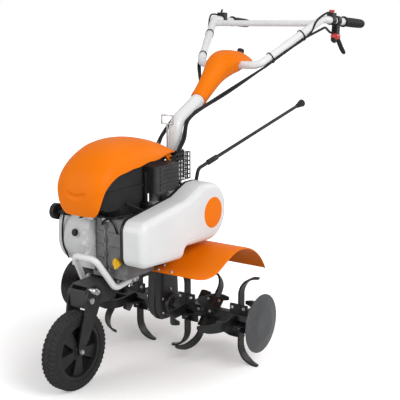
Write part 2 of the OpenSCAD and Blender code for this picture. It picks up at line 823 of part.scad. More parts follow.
// Hood surface: ribs fan out round an axis across the machine.
// Each rib is a round-cornered arch from one lower edge over the crown to the other.
crown_knots = [[-14, 144], [0, 150], [15, 158], [27, 165], [41, 170], [54, 174], [67, 178], [81, 184],
    [96, 191], [113, 207], [130, 235], [142, 266], [151, 296], [157, 318]];
edge_knots = [[-14, 134], [-1, 132], [8, 131], [22, 130], [35, 123], [51, 113], [75, 100], [95, 103],
    [115, 116], [131, 150], [144, 194], [153, 270], [157, 306]];
half_knots = [[-14, 0.6], [-8, 0.72], [2, 0.82], [15, 0.9], [27, 0.95], [41, 0.99], [67, 1], [96, 1],
    [130, 0.97], [144, 0.92], [151, 0.82], [157, 0.66]];
arch = 0.82;
hood_first = -14;
hood_last = 157;
hood_ribs = 30;
hood_cols = 24;
function rib_point(a, t, wall) =
    let (crown = smooth(crown_knots, a) - wall, edge = smooth(edge_knots, a) - (a < 20 ? wall * 0.6 : 0),
        half = smooth(half_knots, a) * hood_half - wall,
        c = cos(t), s = sin(t), y = sign(c) * pow(abs(c), arch) * half,
        r = edge + (crown - edge) * pow(abs(s), arch))
    [hood_axis_x + r * cos(a), y, hood_axis_z + r * sin(a)];
function hood_angle(i) = hood_first + (hood_last - hood_first) * i / hood_ribs;

// Closed shell between the outer and the inner surface
module hood() {
    n = hood_cols + 1;
    m = hood_ribs + 1;
    points = [for (wall = [0, hood_wall], i = [0 : hood_ribs], j = [0 : hood_cols])
        rib_point(hood_angle(i), 180 * j / hood_cols, wall)];
    function outer(i, j) = i * n + j;
    function inner(i, j) = m * n + i * n + j;
    skin = [for (i = [0 : m - 2], j = [0 : n - 2]) each [
        [outer(i, j), outer(i, j + 1), outer(i + 1, j + 1)],
        [outer(i, j), outer(i + 1, j + 1), outer(i + 1, j)],
        [inner(i, j), inner(i + 1, j + 1), inner(i, j + 1)],
        [inner(i, j), inner(i + 1, j), inner(i + 1, j + 1)]]];
    sides = [for (i = [0 : m - 2]) each [
        [outer(i, 0), outer(i + 1, 0), inner(i + 1, 0)], [outer(i, 0), inner(i + 1, 0), inner(i, 0)],
        [outer(i, n - 1), inner(i + 1, n - 1), outer(i + 1, n - 1)],
        [outer(i, n - 1), inner(i, n - 1), inner(i + 1, n - 1)]]];
    ends = [for (j = [0 : n - 2]) each [
        [outer(0, j), inner(0, j + 1), outer(0, j + 1)], [outer(0, j), inner(0, j), inner(0, j + 1)],
        [outer(m - 1, j), outer(m - 1, j + 1), inner(m - 1, j + 1)],
        [outer(m - 1, j), inner(m - 1, j + 1), inner(m - 1, j)]]];
    color("#f07d1a") polyhedron(points, concat(skin, sides, ends));
}

// Lugs under the hood's tail that turn on the hinge rod; each reaches up to the hood's inner face
lug_pad = 7;
lug_column = 60;
function lug_seat(a) =
    let (p = rib_point(a, lug_column, hood_wall), back = lug_pad / cos(42) + 4.2)
    [p[0] - back * cos(a), p[2] - back * sin(a), lug_pad];
module hood_lugs() {
    color("#d96d10") for (s = [-1, 1])
        difference() {
            across(s > 0 ? lug_y : -lug_y - lug_t, s > 0 ? lug_y + lug_t : -lug_y)
                belt_outline([[hinge_x, hinge_z, 10], lug_seat(147), lug_seat(152)]);
            y_bar(hinge_x, hinge_z, hinge_r + run_fit, -lug_y - lug_t - eps, lug_y + lug_t + eps);
        }
}

// Two tapered legs that carry the front wheel
module wheel_fork() {
    color("#2d2f31") for (s = [-1, 1])
        difference() {
            across(s > 0 ? fork_in : -fork_in - fork_t, s > 0 ? fork_in + fork_t : -fork_in)
                belt_outline([[wheel_x, wheel_z, 13], [pivot_x, pivot_z, 17]]);
            y_bar(wheel_x, wheel_z, wheel_axle_r + slip_fit, -80, 80);
            y_bar(pivot_x, pivot_z, pivot_r + slip_fit, -80, 80);
        }
}

// Bolt that the fork folds on
module fork_pivot() {
    head = fork_in + fork_t;
    color("#b4b7ba") {
        y_bar(pivot_x, pivot_z, pivot_r, -head - 6, head + 6);
        y_bar(pivot_x, pivot_z, pivot_r + 4, head, head + 7);
        y_bar(pivot_x, pivot_z, pivot_r + 4, -head - 7, -head);
    }
}

// Axle bolt of the front wheel
module wheel_axle() {
    head = fork_in + fork_t;
    color("#b4b7ba") {
        y_bar(wheel_x, wheel_z, wheel_axle_r, -head - 4, head + 4);
        y_bar(wheel_x, wheel_z, wheel_axle_r + 5, head, head + 8);
        y_bar(wheel_x, wheel_z, wheel_axle_r + 5, -head - 8, -head);
    }
}

// Solid rubber tyre with a round shoulder
module tyre() {
    shoulder = 12;
    color("#161718") translate([wheel_x, 0, wheel_z]) rotate([90, 0, 0]) rotate_extrude($fn = 96)
        difference() {
            union() {
                translate([rim_r, -tyre_w / 2]) square([tyre_r - rim_r - shoulder, tyre_w]);
                translate([rim_r, -tyre_w / 2 + shoulder]) square([tyre_r - rim_r, tyre_w - 2 * shoulder]);
                for (s = [-1, 1])
                    translate([tyre_r - shoulder, s * (tyre_w / 2 - shoulder)]) circle(r = shoulder);
            }
            for (s = [-1, 1])
                translate([tyre_r, s * 7]) circle(r = 2.5);
        }
}

// Moulded rim with five wide spokes
module rim() {
    hub_r = 27;
    hub_half = fork_in - 0.5;
    spokes = 5;
    web = 2.5;
    color("#26282b") translate([wheel_x, 0, wheel_z]) rotate([90, 0, 0]) difference() {
        union() {
            rotate_extrude($fn = 96) {
                translate([0, -hub_half]) square([hub_r - 8, 2 * hub_half]);
                translate([0, -14]) square([rim_r - 6, 28]);
                translate([rim_r - 12, -tyre_w / 2 + 2]) square([12, tyre_w - 4]);
            }
            cylinder(r = hub_r, h = 2 * hub_half - 16, center = true);
        }
        cylinder(r = wheel_axle_r + run_fit, h = 3 * hub_half, center = true);
        for (k = [0 : spokes - 1])
            for (z = [web, -web - 40])
                rotate([0, 0, 90 + k * 360 / spokes]) translate([0, 0, z]) linear_extrude(40)
                    belt_outline([[hub_r + 8, 0, 3], [rim_r - 22, -23, 5], [rim_r - 18, 0, 5],
                        [rim_r - 22, 23, 5]]);
    }
}

// Shaft through the gear case, with thicker journals in its bearings
module tine_shaft() {
    color("#4a4c4e") {
        y_bar(0, axle_z, shaft_r, -disc_y + 6, disc_y - 6);
        y_bar(0, axle_z, journal_r, -boss_half - 1.5, boss_half + 1.5);
    }
}

// One tine, bent sideways: its shank stands along +Z from the axle and its tip points to +Y
module tine() {
    bend = tine_reach;
    intersection() {
        rotate([90, 0, 90]) linear_extrude(tine_w, center = true) {
            translate([0, 20]) square([tine_t, tine_r - bend - 20]);
            translate([bend, tine_r - bend]) intersection() {
                difference() {
                    circle(r = bend, $fn = 72);
                    circle(r = bend - tine_t, $fn = 72);
                }
                translate([-bend, 0]) square([bend, bend]);
            }
        }
        linear_extrude(tine_r + 1)
            polygon([[-tine_w / 2, -1], [tine_w / 2, -1], [tine_w / 2, bend * 0.5], [6, bend], [-6, bend],
                [-tine_w / 2, bend * 0.3]]);
    }
}

// Four tines round one station, bent to alternate sides, on two crossed holder plates
module station(y, turn, first) {
    translate([0, y, axle_z]) rotate([0, turn, 0]) {
        for (k = [0 : 3])
            rotate([0, 180 + k * 90, 0])
                if ((k + first) % 2 == 0) tine(); else mirror([0, 1, 0]) tine();
        for (k = [0 : 3])
            rotate([0, k * 90, 0]) translate([tine_w / 2 - holder_t - 2, -34, 10]) cube([holder_t, 68, 44]);
    }
}

// One reel on the left: a six-sided tube with three tine stations
module reel() {
    color("#1a1b1c") difference() {
        union() {
            translate([0, reel_out, axle_z]) rotate([90, 0, 0])
                cylinder(r = hex_r, h = reel_out - reel_in, $fn = 6);
            station(station_in, 0, 1);
            station(station_mid, 45, 0);
            station(station_out, 0, 0);
        }
        y_bar(0, axle_z, shaft_r + slip_fit, reel_in - 80, reel_out + eps);
    }
}
module tine_reel_left() {
    reel();
}
module tine_reel_right() {
    mirror([0, 1, 0]) reel();
}

// Dished plant guard disc on the left end of the shaft
module disc() {
    wall = 3;
    dish = 16;
    color("#55585b") translate([0, disc_y, axle_z]) rotate([90, 0, 0]) difference() {
        rotate_extrude($fn = 72)
            polygon([[0, 0], [disc_r * 0.5, 0], [disc_r, dish - wall], [disc_r, dish],
                [disc_r * 0.5, wall], [26, wall], [26, dish + 1], [0, dish + 1]]);
        translate([0, 0, 6 - slip_fit]) cylinder(r = shaft_r + slip_fit, h = 40);
    }
}
module disc_left() {
    disc();
}
module disc_right() {
    mirror([0, 1, 0]) disc();
}

seat() frame();
seat() gear_case();
seat() wheel_bracket();
seat() lock_pin();
seat() bumper();
seat() crankcase();
seat() blower_housing();
seat() blower_cap();
seat() recoil_starter();
seat() recoil_grip();
seat() engine_cylinder();
seat() fuel_tank();
seat() muffler();
seat() muffler_guard();
seat() dipstick();
seat() guard_plate();
seat() belt_guard();
seat() fender_left();
seat() fender_right();
seat() hitch();
seat() column();
seat() console();
seat() console_knob();
seat() hood_hinge();
seat() gear_lever();
seat() release_rod();
seat() handlebar();
seat() grip_left();
seat() grip_right();
seat() clutch_lever();
seat() clutch_lock();
seat() switch_base();
seat() stop_switch();
seat() throttle();
seat() cable_left();
seat() cable_right();
seat() hood();
seat() hood_lugs();
seat() wheel_fork();
seat() fork_pivot();
seat() wheel_axle();
seat() tyre();
seat() rim();
seat() tine_shaft();
seat() tine_reel_left();
seat() tine_reel_right();
seat() disc_left();
seat() disc_right();
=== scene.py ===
# %% [markdown]
# # A power tiller, dressed over its CAD frame
#
# The machine is already built as solids: where each piece sits, what carries it and how it moves is
# settled. This lesson gives those solids their looks. Tubes, shells, the tyre and the cables are
# worked out again as smooth surfaces, small hardware is added, and every piece gets a finish.

# %% Load the frame
import json
import bmesh
import bpy
import numpy as np
from mathutils import Matrix


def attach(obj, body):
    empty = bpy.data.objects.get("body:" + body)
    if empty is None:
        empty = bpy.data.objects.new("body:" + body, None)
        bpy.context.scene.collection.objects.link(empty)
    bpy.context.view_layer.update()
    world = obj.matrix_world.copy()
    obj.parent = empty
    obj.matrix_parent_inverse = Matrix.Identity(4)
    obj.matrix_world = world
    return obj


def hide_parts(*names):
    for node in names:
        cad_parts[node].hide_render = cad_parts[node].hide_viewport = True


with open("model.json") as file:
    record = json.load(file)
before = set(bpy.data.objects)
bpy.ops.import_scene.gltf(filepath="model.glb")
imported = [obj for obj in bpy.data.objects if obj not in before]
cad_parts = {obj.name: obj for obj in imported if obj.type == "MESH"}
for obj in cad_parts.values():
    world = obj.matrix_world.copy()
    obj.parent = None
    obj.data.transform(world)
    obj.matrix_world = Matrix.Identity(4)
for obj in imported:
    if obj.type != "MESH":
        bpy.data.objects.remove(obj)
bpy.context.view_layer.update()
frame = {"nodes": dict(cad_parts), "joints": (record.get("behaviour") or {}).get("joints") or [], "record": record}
joints = {joint["name"]: joint for joint in frame["joints"]}
axle = np.array(joints["rotor_spin"]["pos_m"])
wheel = np.array(joints["wheel_spin"]["pos_m"])
wheel_mm = (wheel - [axle[0], 0, 0]) * 1000

# %% [markdown]
# ## Camera
#
# A studio picture of a machine is taken with a long lens from a few metres away, so that near and far
# pieces keep their proportions. Place and direction are in the frame of the solids, so the camera needs no
# parent: its matrix is written down column by column.

# %% Camera
def aim(thing, right, back, at):
    """Puts a camera or a lamp in place: the columns of its matrix are right, up, back and the place."""
    turn = np.eye(4)
    turn[:3, :4] = np.column_stack([right, np.cross(back, right), back, at])
    thing.matrix_world = Matrix(turn.tolist())
    bpy.context.scene.collection.objects.link(thing)


camera_at = np.array([2.589, 1.779, 1.178])
look = np.array([-0.8074, -0.5508, -0.2113])
right = np.array([-0.5635, 0.8261, 0.0])
lens_mm = 76.4

camera = bpy.data.objects.new("camera", bpy.data.cameras.new("camera"))
camera.data.sensor_fit = "HORIZONTAL"
camera.data.sensor_width = 36.0
camera.data.lens = lens_mm
aim(camera, right, -look, camera_at)
bpy.context.scene.camera = camera
print("camera at", camera_at, "lens", lens_mm, "mm")

# %% [markdown]
# ## Surfaces from arrays
#
# Every new piece is a grid of points, worked out from two parameters for the whole grid at once. One
# function turns grids into a mesh: it welds the seams and the poles, where a row has shrunk to a point, and
# turns all faces outwards. Sizes are in millimetres with X from the tine axle, as the machine is drawn, and
# `place` brings them into the frame.

# %% Grids to meshes
def place(points):
    """Drawing millimetres, X from the tine axle, to metres in the frame."""
    return points / 1000 + [axle[0], 0, 0]


def grid_faces(rows, columns, wrap, first):
    """Corner numbers of the quads of a grid; when it wraps, the last column joins the first."""
    row = np.arange(rows - 1)[:, None] * columns + first
    j = np.arange(columns if wrap else columns - 1)[None, :]
    j2 = (j + 1) % columns
    return np.stack([row + j, row + columns + j, row + columns + j2, row + j2], axis=-1).reshape(-1, 4)


def surface(name, grids, finish, sharp, stands_for=None, body="chassis", outward=True, wrap=True):
    """One object from grids of shape (rows, columns, 3) in drawing millimetres, with its finish as its material;
    it replaces the node that it stands for."""
    starts = np.cumsum([0] + [grid.shape[0] * grid.shape[1] for grid in grids])
    points = np.concatenate([grid.reshape(-1, 3) for grid in grids])
    faces = np.concatenate([grid_faces(*grid.shape[:2], wrap, start)
                            for grid, start in zip(grids, starts)])
    mesh = bpy.data.meshes.new(name)
    mesh.from_pydata(place(points).tolist(), [], faces.tolist())
    work = bmesh.new()
    work.from_mesh(mesh)
    bmesh.ops.remove_doubles(work, verts=work.verts, dist=2e-6)
    bmesh.ops.dissolve_degenerate(work, edges=work.edges, dist=1e-7)
    if outward:
        bmesh.ops.recalc_face_normals(work, faces=work.faces)
    work.to_mesh(mesh)
    work.free()
    mesh.shade_smooth()
    mesh.set_sharp_from_angle(angle=np.radians(sharp))
    piece = bpy.data.objects.new(name, mesh)
    piece.data.materials.append(finishes[finish])
    bpy.context.scene.collection.objects.link(piece)
    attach(piece, body)
    if stands_for:
        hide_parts(stands_for)
    return piece


def finish_edges(piece, thick_mm, round_mm):
    """Wall thickness grown inwards, then a small round on the wall's edges."""
    wall = piece.modifiers.new("wall", "SOLIDIFY")
    wall.thickness, wall.offset = thick_mm / 1000, -1.0
    wall.use_even_offset = True
    edge = piece.modifiers.new("edge", "BEVEL")
    edge.width, edge.segments, edge.limit_method = round_mm / 1000, 2, "ANGLE"
    edge.angle_limit = np.radians(50)


print("grids become meshes with welded seams")

# %% [markdown]
# ## Curves through a few points
#
# Sheet and moulded parts are drawn with a handful of knots and a smooth curve through them. Tubes are
# straight runs joined by arcs of one bend radius, as a bending machine makes them. A profile is then
# carried along the route with a frame that doesn't twist.

# %% Curves and sweeps
across = np.array([0, 1.0, 0])


def smooth(knots, x):
    """Cubic Hermite curve through (x, value) knots; each slope is that of the knots on both sides."""
    at, value = np.array(knots, float).T
    number = np.arange(len(at))
    before, after = np.maximum(number - 1, 0), np.minimum(number + 1, len(at) - 1)
    slope = (value[after] - value[before]) / (at[after] - at[before])
    x = np.clip(x, at[0], at[-1])
    i = np.clip(np.searchsorted(at, x) - 1, 0, len(at) - 2)
    width = at[i + 1] - at[i]
    t = (x - at[i]) / width
    return ((2 * t**3 - 3 * t**2 + 1) * value[i] + (t**3 - 2 * t**2 + t) * width * slope[i]
            + (3 * t**2 - 2 * t**3) * value[i + 1] + (t**3 - t**2) * width * slope[i + 1])


def unit(v):
    """Vectors of length 1 along the last axis."""
    v = np.asarray(v, float)
    return v / np.linalg.norm(v, axis=-1, keepdims=True)


def square_to(way):
    """A direction square to another one, level where it can be."""
    return unit(np.cross(way, [0, 0, 1.0] if abs(way[2]) < 0.9 else [1.0, 0, 0]))


def bowed(w, power):
    """|w| raised to a power, with the sign of w: turns circles into superellipses."""
    return np.sign(w) * np.abs(w) ** power


def full_turn(count):
    """Angles evenly round a full turn, as a wrapped grid needs them."""
    return np.linspace(0, 2 * np.pi, count, endpoint=False)


def bent_route(points, bend, steps):
    """Straight runs joined by arcs: each corner is cut back by bend * tan(half its turn)."""
    points = np.asarray(points, float)
    route = [points[:1]]
    for a, b, c in zip(points[:-2], points[1:-1], points[2:]):
        u, v = unit(b - a), unit(c - b)
        turn = np.arccos(np.clip(u @ v, -1, 1))
        w = unit(v - u * (u @ v))
        middle = b - u * bend * np.tan(turn / 2) + w * bend
        k = np.linspace(0, turn, steps)[:, None]
        route.append(middle + bend * (np.sin(k) * u - np.cos(k) * w))
    return np.concatenate(route + [points[-1:]])


def soft_route(points, count=160):
    """Curve through all points, each coordinate a Hermite curve over the chord length."""
    points = np.asarray(points, float)
    run = np.concatenate([[0], np.cumsum(np.linalg.norm(np.diff(points, axis=0), axis=1))])
    s = np.linspace(0, run[-1], count)
    return np.column_stack([smooth(np.column_stack([run, points[:, k]]), s) for k in range(3)])


def tube(route, radius, sides):
    """A circle carried along a route with two normals that don't twist; both ends close in a point."""
    tangent = unit(np.gradient(route, axis=0))
    normal = np.zeros_like(route)
    last = np.array([0, 0, 1.0]) if abs(tangent[0, 2]) < 0.9 else across
    for i, t in enumerate(tangent):
        last = normal[i] = unit(last - t * (last @ t))
    turn = full_turn(sides)[None, :, None]
    ring = np.cos(turn) * normal[:, None] + np.sin(turn) * np.cross(tangent, normal)[:, None]
    rows = np.pad(np.arange(len(route)), 1, "edge")
    reach = np.pad(np.broadcast_to(radius, len(route)), 1)
    return route[rows, None] + reach[:, None, None] * ring[rows]


def lathe(profile, base, direction, sides):
    """A profile of (radius, height) pairs turned round the line from base along direction."""
    radius, height = np.asarray(profile, float).T[..., None, None]
    ez = unit(direction)
    ex = square_to(ez)
    turn = full_turn(sides)[:, None]
    ring = np.cos(turn) * ex + np.sin(turn) * np.cross(ez, ex)
    return base + radius * ring + height * ez


print("helpers for grids, routes, tubes and turned pieces are ready")

# %% [markdown]
# ## Writing shaders as sums
#
# A finish is arithmetic on textures: a base colour times a little noise, a roughness that rises where the
# casting is coarse. This class wraps a node's socket, so that `0.3 + 0.1 * grain` adds the Math nodes by
# itself. Every other node comes from its one method `node`.

# %% Sockets with operators
class Val:
    """A socket in a node tree that plain arithmetic works on."""

    def __init__(self, tree, socket):
        self.tree, self.socket = tree, socket

    def node(self, kind, inputs, out=0, **settings):
        """Adds a shader node with its settings and its sockets' values or links."""
        made = self.tree.nodes.new("ShaderNode" + kind)
        for key, value in settings.items():
            setattr(made, key, value)
        for key, value in inputs.items():
            if isinstance(value, Val):
                self.tree.links.new(value.socket, made.inputs[key])
            else:
                made.inputs[key].default_value = value
        return Val(self.tree, made.outputs[out])

    def math(self, operation, other):
        return self.node("Math", {0: self, 1: other}, operation=operation)

    __add__ = __radd__ = lambda self, other: self.math("ADD", other)
    __mul__ = __rmul__ = lambda self, other: self.math("MULTIPLY", other)
    __sub__ = lambda self, other: self.math("SUBTRACT", other)
    __pow__ = lambda self, other: self.math("POWER", other)

    def above(self, low, high):
        """0 below low, 1 above high, smooth between."""
        inputs = {"Value": self, "From Min": low, "From Max": high}
        return self.node("MapRange", inputs, interpolation_type="SMOOTHSTEP")

    def blend(self, under, over):
        """Colour that goes from under to over as this value goes from 0 to 1."""
        return self.node("Mix", {0: self, 6: (*under, 1), 7: (*over, 1)}, out=2, data_type="RGBA")


class Finish:
    """A material: its object coordinates, its textures and its one shader."""

    def __init__(self, name, metallic=0.0, coat=0.0, specular=0.5):
        self.material = bpy.data.materials.new(name)
        self.material.use_nodes = True
        tree = self.material.node_tree
        self.tree, self.shader = tree, tree.nodes["Principled BSDF"]
        values = {"Metallic": metallic, "Coat Weight": coat, "Coat Roughness": 0.18,
                  "Specular IOR Level": specular}
        for key, value in values.items():
            self.shader.inputs[key].default_value = value
        self.point = Val(tree, tree.nodes.new("ShaderNodeTexCoord").outputs["Object"])

    def noise(self, scale, detail=3.0, rough=0.55):
        """Cloudy noise from 0 to 1; scale is in waves per metre."""
        inputs = {"Vector": self.point, "Scale": scale, "Detail": detail, "Roughness": rough}
        return self.point.node("TexNoise", inputs)

    def cells(self, scale):
        """Distance to the nearest of scattered points, for pits and grain."""
        return self.point.node("TexVoronoi", {"Vector": self.point, "Scale": scale})

    def along(self, axis):
        """One object coordinate in metres."""
        return self.point.node("SeparateXYZ", {0: self.point}, out="XYZ".index(axis))

    def set(self, colour, rough, bump, depth_mm):
        """Links colour and roughness, and a height through one Bump node."""
        height = {"Height": bump, "Distance": depth_mm / 1000, "Strength": 1.0}
        raised = self.point.node("Bump", height)
        for key, value in {"Base Color": colour, "Roughness": rough, "Normal": raised}.items():
            self.tree.links.new(value.socket, self.shader.inputs[key])
        return self.material


print("sockets take sums, products and powers")

# %% [markdown]
# ## Finishes
#
# Each finish starts from its plain colour and gets what the real surface shows close up: the faint orange
# peel of moulded shells and powder coat, the sandy skin of castings, the spark-eroded grain of black
# plastic, drawn lines on steel and a little dust on the rubber.

# %% Painted and moulded finishes
def moulded(name, dark, light, gloss=0.32, coat=0.2, specular=0.5):
    """Moulded shell or enamel: two near colours, slow clouds, a fine peel in the gloss."""
    skin = Finish(name, coat=coat, specular=specular)
    cloud, peel = skin.noise(6.0, 2.0), skin.noise(420.0, 2.0)
    colour = cloud.above(0.3, 0.7).blend(dark, light)
    return skin.set(colour, gloss + 0.05 * skin.noise(38.0, 4.0) + 0.02 * peel, peel, 0.004)


def grained(name, dark, light, rough=0.5, grain=900.0, depth=0.12):
    """Black plastic with a spark-eroded grain; the high spots are a little greyer."""
    skin = Finish(name, specular=0.26)
    pits, scuff = skin.cells(grain), skin.noise(24.0, 5.0, 0.65)
    colour = (scuff * 0.7 + pits * 0.3).above(0.3, 0.75).blend(dark, light)
    return skin.set(colour, rough + 0.16 * scuff - 0.08 * pits, pits, depth)


finishes = {}


def add_finishes(*rows):
    """One material for each row of a name, a kind and the numbers of that kind."""
    for name, kind, *numbers in rows:
        finishes[name] = kind(name, *numbers)


add_finishes(
    ("orange_shell", moulded, (0.84, 0.180, 0.001), (0.88, 0.194, 0.002), 0.42, 0.0, 0.1),
    ("white_paint", moulded, (0.72, 0.725, 0.73), (0.76, 0.765, 0.77), 0.34, 0.1, 0.4),
    ("grey_paint", moulded, (0.56, 0.565, 0.57), (0.62, 0.625, 0.63), 0.4, 0.05, 0.4),
    ("yellow_plastic", moulded, (0.70, 0.38, 0.006), (0.80, 0.47, 0.012), 0.32),
    ("red_plastic", moulded, (0.50, 0.012, 0.012), (0.62, 0.022, 0.02), 0.30),
    ("black_plastic", grained, (0.007, 0.007, 0.008), (0.017, 0.017, 0.018), 0.42),
    ("rim_plastic", grained, (0.012, 0.012, 0.013), (0.022, 0.023, 0.025), 0.34, 700.0, 0.06),
    # near-black finish for the rim's pockets: painted shade in the recesses
    ("pocket_painted_shade", grained, (0.001, 0.001, 0.001), (0.003, 0.003, 0.003), 0.8),
    ("grip_rubber", grained, (0.006, 0.006, 0.006), (0.015, 0.015, 0.016), 0.58, 420.0, 0.2))
print("moulded and painted finishes:", ", ".join(finishes))

# %% Cast, pressed and plated finishes
def cast(name, dark, light, metallic, rough, grain=260.0, depth=0.35):
    """Sand or die casting: a pitted skin, paler where the tool or a hand has polished it."""
    skin = Finish(name, metallic=metallic)
    sand, wear = skin.noise(grain, 5.0, 0.7), skin.noise(17.0, 4.0, 0.6)
    colour = (sand * 0.45 + wear * 0.55).above(0.36, 0.66).blend(dark, light)
    return skin.set(colour, rough + 0.22 * (sand - 0.5) - 0.1 * (wear - 0.5), sand, depth)


def pressed(name, dark, light, rough=0.36, coat=0.08):
    """Painted pressed steel: even paint with a faint peel, and a few rougher patches whose lighter colour is a
    painted sheen.
    """
    skin = Finish(name, coat=coat, specular=0.34)
    peel, sheen_patch = skin.noise(310.0, 3.0), skin.noise(21.0, 6.0, 0.68)
    # painted sheen: the colour is lighter in the rougher patches
    colour = sheen_patch.above(0.42, 0.72).blend(dark, light)
    return skin.set(colour, rough + 0.2 * sheen_patch.above(0.5, 0.8) + 0.05 * peel, peel, 0.06)


def plated(name, dark, light, rough=0.26):
    """Zinc plate on steel: bright metal with drawn lines and cloudy passivation."""
    skin = Finish(name, metallic=1.0)
    cloud, lines = skin.noise(60.0, 3.0), skin.noise(900.0, 2.0)
    colour = cloud.above(0.35, 0.7).blend(dark, light)
    return skin.set(colour, rough + 0.14 * cloud + 0.06 * lines, lines, 0.03)


def tread_rubber(name):
    """Black rubber, dusty on the tread blocks: dust grows with the distance from the wheel's axle."""
    skin = Finish(name, specular=0.35)
    x, z = skin.along("X") - wheel[0], skin.along("Z") - wheel[2]
    radius = (x * x + z * z) ** 0.5
    grit = skin.noise(340.0, 4.0, 0.7)
    dust = radius.above(0.112, 0.130) * skin.noise(45.0, 4.0).above(0.35, 0.75)
    colour = (0.65 * dust + 0.25 * grit).blend((0.010, 0.010, 0.011), (0.034, 0.033, 0.033))
    return skin.set(colour, 0.58 + 0.2 * grit + 0.12 * dust, grit, 0.25)


add_finishes(
    ("cast_alloy", cast, (0.15, 0.152, 0.156), (0.23, 0.232, 0.236), 0.3, 0.50),
    ("dark_cast", cast, (0.015, 0.016, 0.017), (0.032, 0.033, 0.035), 0.0, 0.40, 240.0, 0.25),
    ("black_steel", pressed, (0.010, 0.0104, 0.011), (0.024, 0.0244, 0.026)),
    ("disc_steel", pressed, (0.055, 0.057, 0.060), (0.078, 0.080, 0.084), 0.42),
    ("silencer_steel", cast, (0.020, 0.020, 0.021), (0.046, 0.046, 0.048), 0.2, 0.52, 420.0, 0.12),
    ("bright_steel", plated, (0.46, 0.46, 0.47), (0.66, 0.66, 0.67)),
    ("tyre_rubber", tread_rubber))
slot_of = {part["node"]: part["material_slot"] for part in frame["record"]["subparts"]}
for node, solid in frame["nodes"].items():
    for material_slot in solid.material_slots:
        material_slot.material = finishes[slot_of[node]]
print("all finishes:", len(finishes), "on", len(slot_of), "nodes")

# %% [markdown]
# ## Hood
#
# The hood is one deep moulded shell, hinged at its tail. Its ribs fan out round an axis across the machine:
# at each angle the crown, the lower edge and the half width are smooth curves, and the rib between them is
# a superellipse. A shallow scoop in the nose is where fingers lift it.

# %% Hood shell
crown_knots = [(-14, 144), (0, 150), (15, 158), (27, 165), (41, 170), (54, 174), (67, 178), (81, 184),
               (96, 191), (113, 207), (130, 235), (142, 266), (151, 296), (157, 318)]
edge_knots = [(-14, 134), (-1, 132), (8, 131), (22, 130), (35, 123), (51, 113), (75, 100), (95, 103),
              (115, 116), (131, 150), (144, 194), (153, 270), (157, 306)]
half_knots = [(-14, 0.6), (-8, 0.72), (2, 0.82), (15, 0.9), (27, 0.95), (41, 0.99), (67, 1), (96, 1),
              (130, 0.97), (144, 0.92), (151, 0.82), (157, 0.66)]
hood_axis, hood_half, rib_power = np.array([300, 600]), 104, 0.82


def finger_scoop(y, z, a):
    """Depth of the recess: a crease that curves up at its ends, with a soft hollow under it."""
    half_width, low, rise, crease_depth, hollow_depth = 36.0, 634.0, 9.0, 5.0, 3.4
    middle = low + rise * (y / half_width) ** 2
    window = 1 / (1 + np.exp((np.abs(y) - half_width) / 1.6)) * (a < 40)
    crease = crease_depth * np.exp(-((z - middle) / 2.4) ** 2)
    hollow = hollow_depth * np.exp(-((z - middle + 8) / 7.0) ** 2)
    return window * (crease + hollow)


def hood_grid(rows=170, columns=150):
    """Point = axis + r (cos a, sin a); r = edge + (crown - edge) sin(t)^p and y = half cos(t)^p."""
    a = np.linspace(crown_knots[0][0], crown_knots[-1][0], rows)[:, None]
    t = np.linspace(0, np.pi, columns)[None, :]
    crown, edge, half = smooth(crown_knots, a), smooth(edge_knots, a), smooth(half_knots, a) * hood_half
    cos_a, sin_a = np.cos(np.radians(a)), np.sin(np.radians(a))
    y = bowed(np.cos(t), rib_power) * half
    r = edge + (crown - edge) * np.abs(np.sin(t)) ** rib_power
    r = r - finger_scoop(y, hood_axis[1] + r * sin_a, a)
    return np.stack([hood_axis[0] + r * cos_a, y, hood_axis[1] + r * sin_a], -1)


hood = surface("hood_shell", [hood_grid()], "orange_shell", 60.0, "hood", "hood_lid",
               outward=False, wrap=False)
finish_edges(hood, thick_mm=3.0, round_mm=1.0)
print("hood:", len(hood.data.vertices), "points")

# %% [markdown]
# ## Belt guard
#
# The guard is a tray over two pulleys, waisted between them. Its outline is a polygon with round corners.
# When it moves inwards, round corners get smaller and hollow ones larger, so the rim, the rounded edge and
# the groove along the lower edge are all one formula. A dark seal closes the gap behind it.

# %% Belt guard
guard_corners = np.array([(374, 402, 34), (374, 547, 40), (118, 584, 90), (30, 621, 60), (-109, 621, 99.8),
                          (-109, 413, 99.8), (136, 424, 18), (152, 388, 26)])
guard_inner, guard_depth, guard_round = 124.0, 80.0, 22.0
guard_hub = np.array([150, guard_inner, 490])
seal_back, seal_front = -12.0, 0.6


def guard_outline(inset, steps=24):
    """Arc at each corner: centre - (r - w inset) rot(t) n, w is 1 at a round corner, -1 at a hollow one."""
    corner, radius = guard_corners[:, :2], guard_corners[:, 2]
    u, v = unit(corner - np.roll(corner, 1, axis=0)), unit(np.roll(corner, -1, axis=0) - corner)
    turn = np.arctan2(u[:, 0] * v[:, 1] - u[:, 1] * v[:, 0], (u * v).sum(axis=1))
    way = np.sign(turn)
    n = np.column_stack([-u[:, 1], u[:, 0]]) * way[:, None]
    middle = corner - u * (radius * np.tan(np.abs(turn) / 2))[:, None] + n * radius[:, None]
    t = turn[:, None] * np.linspace(0, 1, steps)
    cos_t, sin_t, n_x, n_z = np.cos(t), np.sin(t), n[:, :1], n[:, 1:]
    arm = np.stack([n_x * cos_t - n_z * sin_t, n_x * sin_t + n_z * cos_t], -1)
    reach = np.maximum(radius[:, None] - way[:, None] * inset, 0.4)
    outward = arm * -way[:, None, None]
    return (middle[:, None] - reach[..., None] * arm).reshape(-1, 2), outward.reshape(-1, 2)


def guard_ring(inset, depth):
    """One outline as a row of points at a distance from the guard's inner face."""
    plan, _ = guard_outline(inset)
    return np.insert(plan, 1, guard_inner + depth, axis=1)


